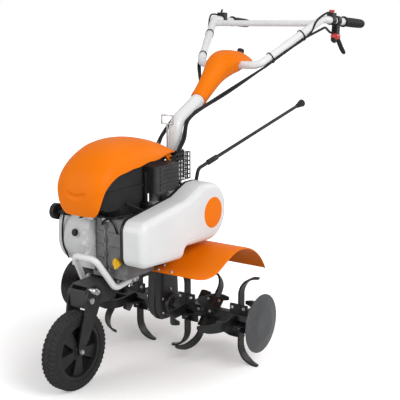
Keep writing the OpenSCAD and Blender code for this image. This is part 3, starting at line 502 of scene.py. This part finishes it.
def belt_guard_grid():
    """Rows run from the back over the inner rim, the round edge and the face to its middle."""
    groove, groove_depth = (22.3, 23.9, 25.5), 2.0
    arc = np.linspace(0, np.pi / 2, 14)
    rows = [(0, 0), (0, 20), (0, 40)]
    rows += list(zip(guard_round * (1 - np.cos(arc)), guard_depth - guard_round * (1 - np.sin(arc))))
    rows += [(inset, guard_depth) for inset in np.linspace(groove[0], groove[2], 16)]
    rings = np.array([guard_ring(inset, depth) for inset, depth in rows])
    _, outward = guard_outline(0.0)
    low = np.clip(-outward[:, 1] * 2 - 0.6, 0, 1)
    insets = np.array([inset for inset, _ in rows])[:, None]
    rings[..., 1] -= groove_depth * np.exp(-((insets - groove[1]) / 0.7) ** 2) * low
    face_hub = guard_hub + [0, guard_depth, 0]
    face = face_hub + np.linspace(0.9, 0, 8)[:, None, None] * (rings[-1] - face_hub)
    back = guard_hub + np.linspace(0, 0.9, 3)[:, None, None] * (rings[0] - guard_hub)
    return np.concatenate([back, rings, face])


guard = surface("belt_guard_cover", [belt_guard_grid()], "white_paint", 50.0, "belt_guard")
seal_rows = [guard_ring(*row) for row in ((1.0, seal_back), (-1.2, -11.0), (-1.2, -1.0), (1.0, seal_front))]
seal_ends = [seal_rows[0] * 0 + guard_hub + [0, depth, 0] for depth in (seal_back, seal_front)]
surface("guard_seal", [np.array(seal_ends[:1] + seal_rows + seal_ends[1:])], "black_plastic", 40.0)
print("belt guard:", len(guard.data.vertices), "points")

# %% [markdown]
# ## Fenders
#
# Each fender is a sheet: an arch over the tines that runs out into a flat flange at the front, where it
# is bolted to the base plate. Its height depends on X alone, and a rolled edge stiffens its outer side.

# %% Fenders
fender_front, fender_rear, fender_peak, ramp_end = 204.0, -205.0, -28.0, 150.0
fender_top, fender_flange, arch_r, corner_r = 399.0, 347.0, 198.0, 40.0
fender_inner, fender_outer, roll_width, roll_drop = 95.0, 310.0, 7.0, 3.0


def fender_height(x):
    """A cosine ramp from the flange up to the crown in front, a circle's arc behind it."""
    run = np.clip((x - fender_peak) / (ramp_end - fender_peak), 0, 1)
    ramp = fender_flange + (fender_top - fender_flange) * (0.5 + 0.5 * np.cos(np.pi * run))
    arc = fender_top - arch_r + np.sqrt(np.maximum(arch_r**2 - (x - fender_peak) ** 2, 0))
    return np.where(x > fender_peak, ramp, arc)


def fender_grid(side):
    """Sheet over (x, y); the outer edge pulls in round the front corner and rolls down."""
    x = np.linspace(fender_rear, fender_front, 120)[:, None]
    v = np.linspace(0, 1, 60)[None, :]
    past = np.clip(x - (fender_front - corner_r), 0, corner_r)
    edge = fender_outer - corner_r + np.sqrt(corner_r**2 - past**2)
    y = fender_inner + v * (edge - fender_inner)
    roll = np.clip((y - edge + roll_width) / roll_width, 0, 1) ** 2 * roll_drop
    grid = np.stack([np.broadcast_to(x, y.shape), side * y, fender_height(x) - roll], -1)
    return grid if side > 0 else grid[:, ::-1]


for side, word in ((1, "left"), (-1, "right")):
    sheet = surface("fender_sheet_" + word, [fender_grid(side)], "orange_shell", 60.0, "fender_" + word,
                    outward=False, wrap=False)
    finish_edges(sheet, thick_mm=3.0, round_mm=0.8)
print("fenders: arch from", fender_rear, "to", fender_front, "mm")

# %% [markdown]
# ## Tubes
#
# Column, handlebar and bumper are bent steel tube with white powder coat. A cross tube is welded between
# the arms of the handlebar, so a small bead runs round each of its ends.

# %% Column, handlebar and bumper
bar_r, column_r, bumper_r = 15.0, 25.0, 10.5
bar_top, bar_low = np.array([-718, 254, 1168.0]), np.array([-434, 133, 997.0])
grip_tip, flip = np.array([-1027.5, 280, 1148.0]), np.array([1, -1, 1.0])
grip_way = unit(grip_tip - bar_top)
tube_end = grip_tip - grip_way * 14
column_foot, column_bend = np.array([-74, 0, 440.0]), np.array([-82, 0, 806.0])
column_head, hidden_end = np.array([-290, 0, 911.0]), 32
column_way = unit(column_head - column_bend)


def block(low, high, power=0.16, rows=26, columns=52):
    """Rounded box: a superellipsoid, whose sines and cosines are raised to a small power."""
    u = np.linspace(-np.pi / 2, np.pi / 2, rows)[:, None]
    v = full_turn(columns)[None, :]
    cos_u = bowed(np.where(np.abs(np.cos(u)) < 1e-9, 0, np.cos(u)), power)
    sides = [cos_u * bowed(np.cos(v), power), cos_u * bowed(np.sin(v), power), bowed(np.sin(u), power)]
    return np.add(low, high) / 2 + np.stack(np.broadcast_arrays(*sides), -1) * np.subtract(high, low) / 2


def bead(centre, axis, radius, size=2.6):
    """A weld: a thin lathe ring round a tube's end."""
    turn = np.linspace(0, 2 * np.pi, 13)
    return lathe(np.column_stack([radius + size * np.cos(turn), size * np.sin(turn)]), centre, axis, 40)


weld = bar_top + (bar_low - bar_top) * 0.1
cross_r = bar_r - 3
bar_route = bent_route([tube_end, bar_top, bar_low, bar_low * flip, bar_top * flip, tube_end * flip], 46, 14)
cross_tube = tube(np.linspace(weld * flip, weld, 12), cross_r, 40)
beads = [bead(weld * [1, s * 0.945, 1], across, cross_r) for s in (-1, 1)]
surface("handlebar_tube", [tube(bar_route, bar_r, 48), cross_tube] + beads, "white_paint", 50.0, "handlebar")
column_route = bent_route([column_foot, column_bend, column_head - hidden_end * column_way], 60, 20)
surface("column_tube", [tube(column_route, column_r, 56), block([-108, -32, 430], [-84, 32, 470])],
        "white_paint", 50.0, "column")
bumper_points = np.array([(252, 78, 329.3), (292, 78, 329.3), (347, 66, 314), (418, 45, 424)])
bumper_route = bent_route(np.concatenate([bumper_points, (bumper_points * flip)[::-1]]), 24, 12)
surface("bumper_tube", [tube(bumper_route, bumper_r, 40)], "white_paint", 50.0, "bumper")
print("handlebar route of", len(bar_route), "rings")

# %% [markdown]
# ## Console
#
# The console is a moulded shell in two halves where the column meets the handlebar. Its centre line, its
# half height and its half width are smooth curves, and its sections are lenses with a crease along both
# sides, where the halves meet.

# %% Console
console_x = [(0, -228), (0.2, -282), (0.5, -372), (0.78, -462), (1, -538)]
console_z = [(0, 879), (0.2, 923), (0.5, 993), (0.78, 1008), (1, 1005)]
console_half_h = [(0, 31), (0.12, 33), (0.3, 39), (0.5, 51), (0.7, 46), (0.86, 35), (1, 21)]
console_half_w = [(0, 31), (0.12, 31.5), (0.3, 38), (0.5, 53), (0.7, 61), (0.86, 57), (1, 46)]
side_power, top_power, knob_at, knob_sunk = 0.72, 1.3, 0.93, 8


def console_grid(rows=90, columns=96):
    """Section at s: centre + w cos(t)^0.72 side + h sin(t)^1.3 up, square to the centre line. The power
    above 1 leaves a crease along each side, and the lower half stands in by a twentieth."""
    s = np.linspace(0, 1, rows)
    centre = np.column_stack([smooth(console_x, s), np.zeros(rows), smooth(console_z, s)])
    up = np.cross(unit(np.gradient(centre, axis=0)), across)
    up = up * np.sign(up[:, 2:])
    turn = full_turn(columns)[None, :]
    wide = bowed(np.cos(turn), side_power) * smooth(console_half_w, s)[:, None]
    level = np.broadcast_to(bowed(np.sin(turn), top_power), wide.shape)
    high = level * smooth(console_half_h, s)[:, None]
    parting = 1 - 0.05 * np.clip((0.02 - level) / 0.03, 0, 1)
    wall = centre[:, None] + (wide * parting)[..., None] * across + high[..., None] * up[:, None]
    close = [centre[k] + (wall[k] - centre[k]) * np.array([0.0, 0.6, 0.9])[:, None, None] for k in (0, -1)]
    return np.concatenate([close[0], wall, close[1][::-1]])


console = surface("console_shell", [console_grid()], "orange_shell", 55.0, "console")
knob_x, knob_z, knob_h = [smooth(knots, knob_at) for knots in (console_x, console_z, console_half_h)]
clamp_knob = [(0, 0), (9, 0), (9, 9), (13, 10.5), (14, 13), (14, 24), (12.4, 27.5), (0, 28)]
surface("clamp_knob", [lathe(clamp_knob, [knob_x, 0, knob_z + knob_h - knob_sunk], [-0.45, 0, 1], 24)],
        "black_plastic", 40.0, "console_knob")
print("console:", len(console.data.vertices), "points")

# %% [markdown]
# ## Tyre
#
# A solid rubber tyre with a block tread. Its section is turned round the axle, and the tread is cut into
# the turned surface: two rings part the tread into three bands, and slots part the bands into blocks.

# %% Tyre with tread
tyre_r, tyre_half, rim_r, shoulder_r = 130.0, 26.0, 97.0, 12.0
tread_blocks, block_columns, slot_depth, ring_depth, middle_depth = 50, 18, 3.0, 2.4, 1.4


def tyre_section():
    """Radius and Y from one bead over the crown to the other: straight walls and two shoulder arcs."""
    wall = np.column_stack([np.linspace(rim_r, tyre_r - shoulder_r, 14), np.full(14, tyre_half)])
    raised = np.exp(-((wall[:, 0] - 108) / 1.6) ** 2)
    wall[:, 1] += raised - 0.8 * np.exp(-((wall[:, 0] - 101) / 1.4) ** 2)
    turn = np.linspace(0, np.pi / 2, 12)[1:]
    arc = np.column_stack([tyre_r - shoulder_r + shoulder_r * np.sin(turn),
                           tyre_half - shoulder_r + shoulder_r * np.cos(turn)])
    half = np.concatenate([wall, arc, np.column_stack([np.full(14, tyre_r), np.linspace(13.0, 0, 14)])])
    return np.concatenate([half, (half * [1, -1])[-2::-1]])


def tyre_grid():
    """Radius less the tread's depth; slots repeat round the wheel and lean the other way on each side."""
    section = tyre_section()
    radius, y = section[:, 0, None], section[:, 1, None]
    turn = full_turn(tread_blocks * block_columns)[None, :]
    phase = (turn / (2 * np.pi) * tread_blocks + 0.5 * (y > 0) + np.abs(y) / 34) % 1
    slot = 1 / (1 + np.exp((np.abs(phase - 0.5) - 0.2) / 0.03))
    ring = np.exp(-((np.abs(y) - 8) / 1.7) ** 2)
    band = np.clip((radius - 113) / 6, 0, 1)
    outer = np.clip((np.abs(y) - 9) / 2, 0, 1)
    inner = np.maximum(ring_depth * ring, middle_depth * slot * (1 - outer))
    r = radius - band * np.maximum(slot_depth * slot * outer, inner)
    return wheel_mm + np.stack([r * np.cos(turn), np.broadcast_to(y, r.shape), r * np.sin(turn)], -1)


tyre_bore = lathe([(rim_r, -tyre_half), (rim_r, tyre_half)], wheel_mm, across, tread_blocks * block_columns)
tyre = surface("tyre_tread", [tyre_grid(), tyre_bore], "tyre_rubber", 38.0, "tyre", "front_wheel")
print("tyre:", len(tyre.data.vertices), "points")

# %% [markdown]
# ## Rim and fork of the front wheel
#
# The rim is a moulded disc with five pockets whose straight sides spread from hub to band; the columns of
# its grid follow those sides, so the edges stay crisp. The fork's legs are plates that widen from the axle
# to the pivot and step outwards over the tyre.

# %% Rim, pockets, fork legs and axle
def bolt(base, direction, size):
    """Washer and hexagon head for a thread of the given size, standing on base."""
    washer = np.array([(0, 0), (1.05, 0), (1.1, 0.4 / size), (1.05, 0.24), (0, 0.24)])
    head = np.array([(0, 0.24), (0.94, 0.24), (0.94, 0.8), (0.8, 0.95), (0, 0.95)])
    return [lathe(washer * size, base, direction, 20), lathe(head * size, base, direction, 6)]


pockets, pocket_low, pocket_high, lip = 5, 27.0, 82.0, 1.2


def rim_grid(side):
    """Web of the rim with the floors of its pockets, and over each floor a near-black sheet that paints the shade
    in the pocket. At radius r a pocket is w = 3 + 0.42 (r - 27) wide to each side, so its edge is at the angle
    asin(w / r)."""
    radii = np.concatenate([[16, 19, 23, pocket_low, pocket_low + lip], np.linspace(33, 76, 9),
                            [pocket_high - lip, pocket_high, 86]])
    inside = np.clip(radii, pocket_low, pocket_high)
    edge, half = np.arcsin((3 + 0.42 * (inside - pocket_low)) / inside), np.pi / pockets
    rows = [np.concatenate([np.linspace(-half, -a - b, 7), np.linspace(-a, a, 9),
                            np.linspace(a + b, half, 7)[:-1]]) for a, b in zip(edge, lip / inside)]
    turn = np.concatenate([np.array(rows) + np.pi / 2 + k * 2 * half for k in range(pockets)], axis=1)
    deep = (radii > pocket_low + 1) & (radii < pocket_high - 1)
    floors = [slice(first + 7, first + 16) for first in range(0, turn.shape[1], len(rows[0]))]
    radii = radii[:, None]
    y = side * np.broadcast_to(smooth([(16, 20), (40, 17), (70, 14), (86, 14)], radii), turn.shape)
    for floor in floors:
        y[deep, floor] = side * 1.5
    web = wheel_mm + np.stack([radii * np.cos(turn), y, radii * np.sin(turn)], -1)
    return web, [web[deep, floor] + [0, side * 0.4, 0] for floor in floors]


def fork_leg(side, thick=6.0):
    """A plate by its front edge, its rear edge and its distance from the middle at each height."""
    height = np.array([117, 122, 130, 142, 164, 190, 219, 249, 266, 292, 312, 325, 331.0])
    front = np.array([482, 488, 491, 492, 489, 484.5, 478, 469, 465, 460, 456, 450, 441.0])
    rear = np.array([474, 468, 465, 459, 444, 431, 418, 405, 398, 391, 389, 393, 401.0])
    out = np.interp(height, [140, 262], [28, 39])
    corner = np.array([(0, -1), (0.5, -1), (1, -1), (1, 1), (0.5, 1), (0, 1)])
    x = front[:, None] + (rear - front)[:, None] * corner[:, 0]
    y = side * (out[:, None] + thick / 2 * corner[:, 1])
    plate = np.stack([x, y, np.broadcast_to(height[:, None], x.shape)], -1)
    ends = [np.broadcast_to(plate[k].mean(axis=0), plate[k].shape) for k in (0, -1)]
    return np.concatenate([ends[:1], plate, ends[1:]])


webs, pocket_shade_sheets = zip(*[rim_grid(side) for side in (-1, 1)])
hub = [(8.3, -24), (18, -24), (20, -22), (20, 22), (18, 24), (8.3, 24), (8.3, -24)]
band = [(84, -24), (96.5, -24), (96.5, 24), (84, 24), (82, 20), (84, 0), (82, -20), (84, -24)]
turned = [lathe(part, wheel_mm, across, 110) for part in (hub, band)]
surface("wheel_rim", list(webs) + turned, "rim_plastic", 35.0, "rim", "front_wheel")
# Near-black sheets just over the pocket floors paint the shade inside the pockets.
surface("rim_pocket_shade", sum(pocket_shade_sheets, []), "pocket_painted_shade", 35.0, body="front_wheel", wrap=False)
legs = [fork_leg(side) for side in (-1, 1)]
surface("fork_legs", legs, "black_steel", 30.0, "wheel_fork", "wheel_arm")
axle_bar = [lathe([(0, -30.5), (8, -30.5), (8, 30.5), (0, 30.5)], wheel_mm, across, 32)]
fork_bolts = []
for side in (-1, 1):
    axle_bar += bolt(wheel_mm + side * 31 * across, side * across, 7.5)
    for x, z in ((404, 313), (421, 322)):
        fork_bolts += bolt([x, side * 42, z], side * across, 6.5)
surface("wheel_axle_bar", axle_bar, "bright_steel", 30.0, "wheel_axle", "wheel_arm")
surface("fork_bolts", fork_bolts, "bright_steel", 30.0, body="wheel_arm")
print("rim with", len(pocket_shade_sheets[0]), "pockets a side, two legs of", len(legs[0]) - 2, "sections")

# %% [markdown]
# ## Gear case
#
# A casting with well rounded edges: two circles, the low one round the axle and the high one at the
# pulley, and the straight sides between them. A thin rib marks the joint of its two halves.

# %% Gear case
def belt_ring(circles, inset, y, columns=112):
    """Round the circles: in direction n the circle k that reaches farthest gives c_k + (r_k - inset) n."""
    turn = full_turn(columns)
    normal = np.column_stack([np.cos(turn), np.sin(turn)])
    circles = np.array(circles, float)
    reach = normal @ circles[:, :2].T + circles[:, 2] - inset
    best = circles[reach.argmax(axis=1)]
    flat = best[:, :2] + (best[:, 2] - inset)[:, None] * normal
    return np.insert(flat, 1, y, axis=1)


def rounded_case(circles, half, edge):
    """Rings from face to face; at the angle a on an edge inset = e (1 - sin a) and y = h - e (1 - cos a)."""
    turn = np.linspace(0, np.pi / 2, 9)
    rings = [belt_ring(circles, edge * (1 - np.sin(a)), half - edge * (1 - np.cos(a))) for a in turn]
    x, z, _ = np.mean(circles, axis=0)
    heart = np.array([x, half, z])
    rings = [rings[0] * 0 + heart, (rings[0] + heart) / 2] + rings
    return np.array([ring * flip for ring in rings] + rings[::-1])


axle_z, pulley_x, pulley_z = 160, 5, 527
boss = [(16.3, -50), (38, -50), (40, -48), (40, 48), (38, 50), (16.3, 50)]
neck = [(0, 32), (30, 32), (30, 118), (0, 118)]
case_parts = [rounded_case([(0, axle_z, 62), (pulley_x, pulley_z, 44)], 32, 17),
              rounded_case([(0, axle_z, 67), (4, 290, 52)], 8, 2),
              lathe(boss, [0, 0, axle_z], across, 64), lathe(neck, [pulley_x, 0, pulley_z], across, 48)]
surface("gear_casting", case_parts, "dark_cast", 40.0, "gear_case")
print("gear case of", len(case_parts), "forms")

# %% [markdown]
# ## Grips, shift rod and cables
#
# What the operator touches is black: ribbed grips, a long shift rod with a tapered knob, the clutch lever.
# Two control cables are tied under the handlebar's arms and go down beside the column, in straight runs and
# arcs like the tubes they follow. Two thinner wires hang beside them.

# %% Grips and shift rod
grip_r, grip_len = 18.5, 150.0


def grip_profile():
    """Radius along the grip: a collar, a slow swell, eleven ribs and a round end."""
    s = np.linspace(0, grip_len, 150)
    ribs = 0.9 * np.clip(np.sin(s / grip_len * 2 * np.pi * 11), 0, 1)
    radius = grip_r - 1.2 + np.sin(np.pi * s / grip_len) + ribs
    radius = np.where(s < 9, grip_r + 3.8 - 0.05 * (s - 4.5) ** 2, radius)
    turn = np.linspace(0, np.pi / 2, 10)
    end = np.column_stack([(grip_r - 1.2) * np.cos(turn), grip_len + (grip_r - 0.2) * np.sin(turn)])
    return np.concatenate([[[bar_r, 0]], np.column_stack([radius, s]), end])


for side, word in ((1, "left"), (-1, "right")):
    turned = [1, side, 1]
    sleeve = lathe(grip_profile(), (grip_tip - grip_way * grip_len) * turned, grip_way * turned, 44)
    surface("grip_sleeve_" + word, [sleeve], "grip_rubber", 50.0, "grip_" + word)

lever_y = 106.0
lever_foot, lever_elbow = np.array([-30, lever_y, 545]), np.array([-72, lever_y, 652])
lever_tip = np.array([-852, lever_y, 821])
lever_way = unit(lever_tip - lever_elbow)
lever_route = bent_route([lever_foot, (-54, lever_y, 600), lever_elbow, lever_tip - lever_way * 20], 26, 12)
knob = [(0, 0), (6.6, 0), (9, 3), (11, 22), (15.5, 40), (16, 46), (13.6, 50), (6, 51), (0, 51.2)]
sleeve = [(0, 0), (7.6, 0), (10, 3), (10, 59), (7.6, 62), (0, 62)]
pivot = [(0, 0), (9, 0), (9, 80), (0, 80)]
rod = [tube(lever_route, 6.5, 24), lathe(knob, lever_tip - lever_way * 51, lever_way, 32),
       lathe(sleeve, lever_elbow + lever_way * 60, lever_way, 32),
       lathe(pivot, [lever_foot[0], 32, lever_foot[2]], across, 32)]
surface("shift_rod", rod, "black_plastic", 50.0, "gear_lever")
print("grips and shift rod made")

# %% Control cables, clutch lever and ties
cable_r, seat_gap, clamp_t = 4.5, 0.3, 4.0


def beside(way, towards, radius):
    """Step from a tube's axis to the cable's axis, square to the tube and towards one side."""
    return unit(towards - way * np.dot(towards, way)) * (radius + cable_r + seat_gap)


under, arm_way = (0, 0.35, -1), unit(bar_low - bar_top)


def column_side(distance):
    """A point of the cable beside the column, by its distance from the column's bend."""
    return column_bend + column_way * distance + beside(column_way, (0, 1, -0.25), column_r)


def on_bar(distance, down, aside=0.0):
    """A point by the left handle: how far along the grip, how far below the tube and how far aside."""
    below = unit(np.array([0, 0, -1.0]) - grip_way * -grip_way[2])
    return bar_top + grip_way * distance + below * down + np.cross(grip_way, below) * aside


low_arm = [bar_low + beside(arm_way, under, bar_r) - arm_way * 20, column_head + [-40, 60, -6],
           column_side(92), column_side(24), (-62, 46, 755), (-30, 44, 712), (-10, 46, 640)]
left_head = [on_bar(100, 52), on_bar(60, 46), on_bar(20, 30, -4),
             bar_top + arm_way * 110 + beside(arm_way, under, bar_r)]
right_head = [bar_top + grip_way * 57.7 + beside(grip_way, under, bar_r + clamp_t),
              bar_top + beside(unit(grip_way - arm_way), under, bar_r + clamp_t)]
left_points = np.array(left_head + low_arm + [(-14, 74, 596), (-14, 117.7, 596)])
right_points = np.array(right_head + low_arm + [(50, 60, 622), (194.7, 60, 620)]) * flip
for word, points in (("left", left_points), ("right", right_points)):
    route = bent_route(points, 20, 10)
    surface("control_cable_" + word, [tube(route, cable_r, 16)], "grip_rubber", 50.0, "cable_" + word)


def second_wire(head, end):
    """A thinner wire beside the cable: outside along the arm, down the column and into the engine."""
    outer = beside(arm_way, (0, 1, -1), bar_r)
    aside = np.array([0, 8.8, -2])
    arm = [bar_top + arm_way * distance + outer for distance in (92, 230)] + [bar_low - arm_way * 20 + outer]
    column = [column_head + [-38, 67, -12], column_side(92) + aside, column_side(24) + aside]
    return np.array(head + arm + column + [(-62, 55, 753), (-30, 53.5, 711), (-10, 55, 650)] + end)


switch_head = [bar_top + grip_way * 66 + [0, 6, 24], bar_top + grip_way * 22 + [0, 10, 26],
               bar_top + arm_way * 34 + [16, 12, 12]]
throttle_head = [bar_top + grip_way * 60 + [0, 8, 22], bar_top + grip_way * 8 + [6, 18, 16]]
switch_end = [(8, 48, 608), (50, 40, 588), (92, 36, 580)]
throttle_end = [(50, 69, 624), (120, 69, 622), (194.7, 69, 622)]
switch_wire = soft_route(second_wire(switch_head, switch_end), 240)
throttle_wire = soft_route(second_wire(throttle_head, throttle_end) * flip, 240)
surface("thin_cables", [tube(switch_wire, 4.0, 12), tube(throttle_wire, 3.4, 12)], "grip_rubber", 50.0)

blade_at = ((112, 40), (124, 62), (144, 86), (168, 110), (192, 128))
blade = soft_route([on_bar(distance, down) for distance, down in blade_at], 40)
blade_r = smooth([(0, 7), (0.3, 8.5), (0.75, 9.5), (0.95, 8), (1, 4)], np.linspace(0, 1, 40))
foot = [tube(np.linspace(on_bar(97, down), on_bar(121, down), 4), 12.5, 20) for down in (24, 36, 48)]
ring = lathe([(15.3, 0), (20, 0), (20.4, 2), (20.4, 24), (20, 26), (15.3, 26)], on_bar(96, 0), grip_way, 40)
lock = tube(np.linspace(on_bar(88, 61), on_bar(134, 61), 6), [10, 14, 14.5, 14.5, 14, 10], 20)
stub = tube(np.linspace(on_bar(84, 72), on_bar(112, 82), 6), [6, 9, 10, 10, 9, 6], 20)
surface("clutch_blade", [tube(blade, blade_r, 20), stub, *foot, ring], "black_plastic", 50.0, "clutch_lever")
surface("clutch_lock_cap", [lock], "red_plastic", 50.0, "clutch_lock")


def tie(centre, way, side_step):
    """A strap round tube and cable: an oval ring with a square section."""
    ex = unit(side_step)
    turn = full_turn(48)[None, :, None]
    out, along = np.array([(0, -2.4), (1.3, -2.4), (1.3, 2.4), (0, 2.4), (0, -2.4)]).T[..., None, None]
    long, short = bar_r + np.linalg.norm(side_step) * 0.5 - 2.6, bar_r + 1.0
    ring = (long + out) * np.cos(turn) * ex + (short + out) * np.sin(turn) * np.cross(way, ex)
    return centre + side_step * 0.19 + ring + along * way


ties = []
step = beside(arm_way, under, bar_r)
for distance in (120, 290):
    spot = bar_top + arm_way * distance
    ties += [tie(spot, arm_way, step), tie(spot * flip, arm_way * flip, step * flip)]
surface("cable_ties", ties, "black_plastic", 40.0)
print("two cables, two thin wires and", len(ties), "ties")

# %% [markdown]
# ## Hardware
#
# A machine like this is held together by hexagon bolts. One bolt is two turned profiles, so a row of
# bolts is a list of places and directions.

# %% Hexagon bolts
def holder_bolts():
    """Two bolts on each tine holder; holders stand every quarter turn at six stations on the axle."""
    grids = []
    for y, turn in ((112, 0), (208, 45), (330, 0)):
        for quarter in range(4):
            a = np.radians(turn + 90 * quarter)
            ex, ez = np.array([np.cos(a), 0, -np.sin(a)]), np.array([np.sin(a), 0, np.cos(a)])
            for along in (-24, 22):
                foot = np.array([0, y + along, axle[2] * 1000]) + ex * 14 + ez * 42
                grids += bolt(foot, ex, 5.5) + bolt(foot * flip, ex * flip, 5.5)
    return grids


surface("tine_bolts", holder_bolts(), "bright_steel", 30.0, body="tine_rotor")

fixed_bolts = []
for side in (-1, 1):
    for x, y in ((188, 122), (188, 176), (140, 110)):
        fixed_bolts += bolt([x, side * y, fender_height(x)], [0, 0, 1], 6)
    for turn in np.radians((30, 90, 150, 210, 330)):
        fixed_bolts += bolt([53 * np.cos(turn), side * 32, axle_z + 53 * np.sin(turn)], side * across, 4.5)
    for x, z in ((-96, 452), (-40, 462), (60, 430), (118, 372)):
        fixed_bolts += bolt([x, side * 40, z], side * across, 6.5)
    for x in (262, 284):
        fixed_bolts += bolt([x, side * 62, 340], [0, 0, -1], 6)
    fixed_bolts += bolt([300, side * 35, 322], side * across, 6)
surface("frame_bolts", fixed_bolts, "bright_steel", 30.0)
print("bolts:", len(fixed_bolts) // 2, "on the frame, 48 on the rotor")

# %% [markdown]
# ## Small engine parts and the guard's panel
#
# Between tank, cylinder and belt guard sits what makes the engine run: the carburettor with its bowl, the
# throttle spring and link, the fuel hose and the ignition lead. A spring is a helix round a line. A plain
# round panel in the colour of the hood is set on the guard's face over the rear pulley.

# %% Carburettor, hoses, springs, clamps and panel
def coil(start, end, radius, turns, count=240):
    """Helix round the straight line from start to end."""
    step = np.subtract(end, start)
    ez = unit(step)
    ex = square_to(ez)
    s = np.linspace(0, 1, count)[:, None]
    turn = 2 * np.pi * turns * s
    return start + s * step + radius * (np.cos(turn) * ex + np.sin(turn) * np.cross(ez, ex))


bowl = lathe([(0, 0), (12, 0), (13, 4), (13, 16), (9, 20), (0, 20)], [186, 103, 546], [0, 0, -1], 32)
inlet = lathe([(0, 0), (4, 0), (4, 30), (0, 30)], [150, 104, 565], [-1, 0, 0.2], 20)
flange = block([156, 94, 556], [170, 114, 574], 0.12)
carburettor = [block([168, 92, 548], [204, 114, 580], 0.2), bowl, flange, inlet]
air_duct = [block([181, 8, 556], [194.5, 76, 676], 0.12), block([176, 20, 540], [206, 90, 572], 0.14)]
surface("air_duct", air_duct, "black_plastic", 40.0)
surface("carburettor", carburettor, "cast_alloy", 40.0)
hose_rows = [
    (3.5, 14, [(300, 80, 590), (276, 102, 574), (240, 106, 560), (204, 104, 566)]),
    (3.0, 14, [(384, -100, 570), (386, -112, 545), (386, -122, 500), (380, -126, 440), (362, -120, 392)]),
    (3.2, 14, [(352, 20, 520), (366, 40, 540), (362, 70, 552), (340, 96, 556), (300, 106, 556)]),
    (2.6, 12, [(392, -40, 545), (376, 0, 558), (360, 40, 552), (356, 70, 532), (354, 84, 500)])]
hoses = [tube(soft_route(points), radius, sides) for radius, sides, points in hose_rows]
surface("engine_hoses", hoses, "grip_rubber", 50.0)
lock_pin = np.array([436.0, 35.0, 326.0])
springs = [tube(coil([246, 108, 538], [196, 110, 566], 4.2, 13), 0.9, 8),
           tube(coil(lock_pin + [0, 14, 0], lock_pin + [0, 27, 0], 7.4, 5), 1.4, 8),
           tube(np.array([(246, 108, 538), (290, 106, 520), (322, 100, 506)], float), 1.6, 10)]
surface("springs", springs, "bright_steel", 50.0)
clamps = [lathe([(10.6, -5), (13, -5), (13, 5), (10.6, 5)], [x, side * 78, 329.3], [1, 0, 0], 32)
          for side in (-1, 1) for x in (262, 284)]
clamps += [block([352, -18, 545], [392, 18, 552], 0.12), block([352, 28, 538], [362, 58, 548], 0.14)]
surface("clamps", clamps, "bright_steel", 40.0)
panel = [(0, 1.6), (44, 1.6), (51, 1.3), (53.5, 0.6), (54, 0), (0, 0)]
surface("round_panel", [lathe(panel, [-20, 204, 516], across, 96)], "orange_shell", 50.0)
print("engine parts:", len(carburettor), "castings,", len(hoses), "hoses,", len(springs), "wires, one panel")

# %% [markdown]
# ## Studio
#
# A pale floor that runs to the horizon, a white surround and four large soft lamps. The floor takes the object's
# shadow, and round the machine a weaker glow paints a soft shadow on top; what the camera sees of the empty
# surround is plain white.

# %% Floor, surround and lamps
def studio_floor(near_glow, far_glow, painted_shade_x):
    """A wide square under the object. What the lamps leave of white is added by a glow that only the
    camera sees and that grows with the distance from a point under the machine: weak near the machine, it paints a
    soft shadow there, and far out the floor runs into the surround."""
    edge = 30.0
    mesh = bpy.data.meshes.new("floor")
    corners = [(-edge, -edge, 0), (edge, -edge, 0), (edge, edge, 0), (-edge, edge, 0)]
    mesh.from_pydata(corners, [], [(0, 1, 2, 3)])
    skin = Finish("floor")
    tree = skin.tree
    tree.nodes.remove(skin.shader)
    seen = Val(tree, tree.nodes.new("ShaderNodeLightPath").outputs["Is Camera Ray"])
    x, y = skin.along("X") - painted_shade_x, skin.along("Y")
    reach = (x * x + y * y) ** 0.5
    # painted shadow: the glow is weak near the machine and grows outwards
    far = reach.above(0.1, 0.95) + 0.6 * reach.above(0.9, 2.2)
    white = (seen * (near_glow + far_glow * far)).blend((0, 0, 0), (1, 1, 1))
    matt = seen.node("BsdfDiffuse", {"Color": (0.8, 0.8, 0.8, 1)})
    glow = seen.node("Emission", {"Color": white, "Strength": 1.0})
    both = seen.node("AddShader", {0: matt, 1: glow})
    tree.links.new(both.socket, tree.nodes["Material Output"].inputs["Surface"])
    mesh.materials.append(skin.material)
    floor = bpy.data.objects.new("floor", mesh)
    bpy.context.scene.collection.objects.link(floor)


def surround(light):
    """Even world light; the camera sees white, and mirror rays a tone between the two."""
    world = bpy.data.worlds.new("surround")
    world.use_nodes = True
    tree = world.node_tree
    path = tree.nodes.new("ShaderNodeLightPath")
    seen = Val(tree, path.outputs["Is Camera Ray"])
    mirror = Val(tree, path.outputs["Is Glossy Ray"]) + Val(tree, path.outputs["Is Transmission Ray"])
    ground = tree.nodes["Background"]
    ground.inputs["Color"].default_value = (1, 1, 1, 1)
    strength = light + (1 - light) * (seen + 0.55 * mirror).above(0, 1)
    tree.links.new(strength.socket, ground.inputs["Strength"])
    bpy.context.scene.world = world


def soft_lamp(name, at, target, size, power):
    """A square area lamp that faces its target."""
    lamp = bpy.data.lights.new(name, "AREA")
    lamp.size, lamp.energy = size, power
    back = unit(np.subtract(at, target))
    aim(bpy.data.objects.new(name, lamp), unit(np.cross([0, 0, 1.0], back)), back, at)


studio_floor(0.19, 0.5, 0.36)
surround(0.34)
lamps = [("key", (1.1, 2.9, 2.4), (0, 0, 0.5), 1.8, 81), ("fill", (3.0, -1.2, 1.6), (0, 0, 0.5), 2.0, 36),
         ("top", (-0.6, -0.2, 3.4), (0, 0, 0.4), 2.2, 12), ("back", (-3.0, 1.6, 1.7), (0, 0, 0.4), 2.0, 18)]
for lamp in lamps:
    soft_lamp(*lamp)
bpy.context.scene.view_settings.view_transform = "Standard"
print("studio: a floor, a surround and", len(lamps), "lamps")
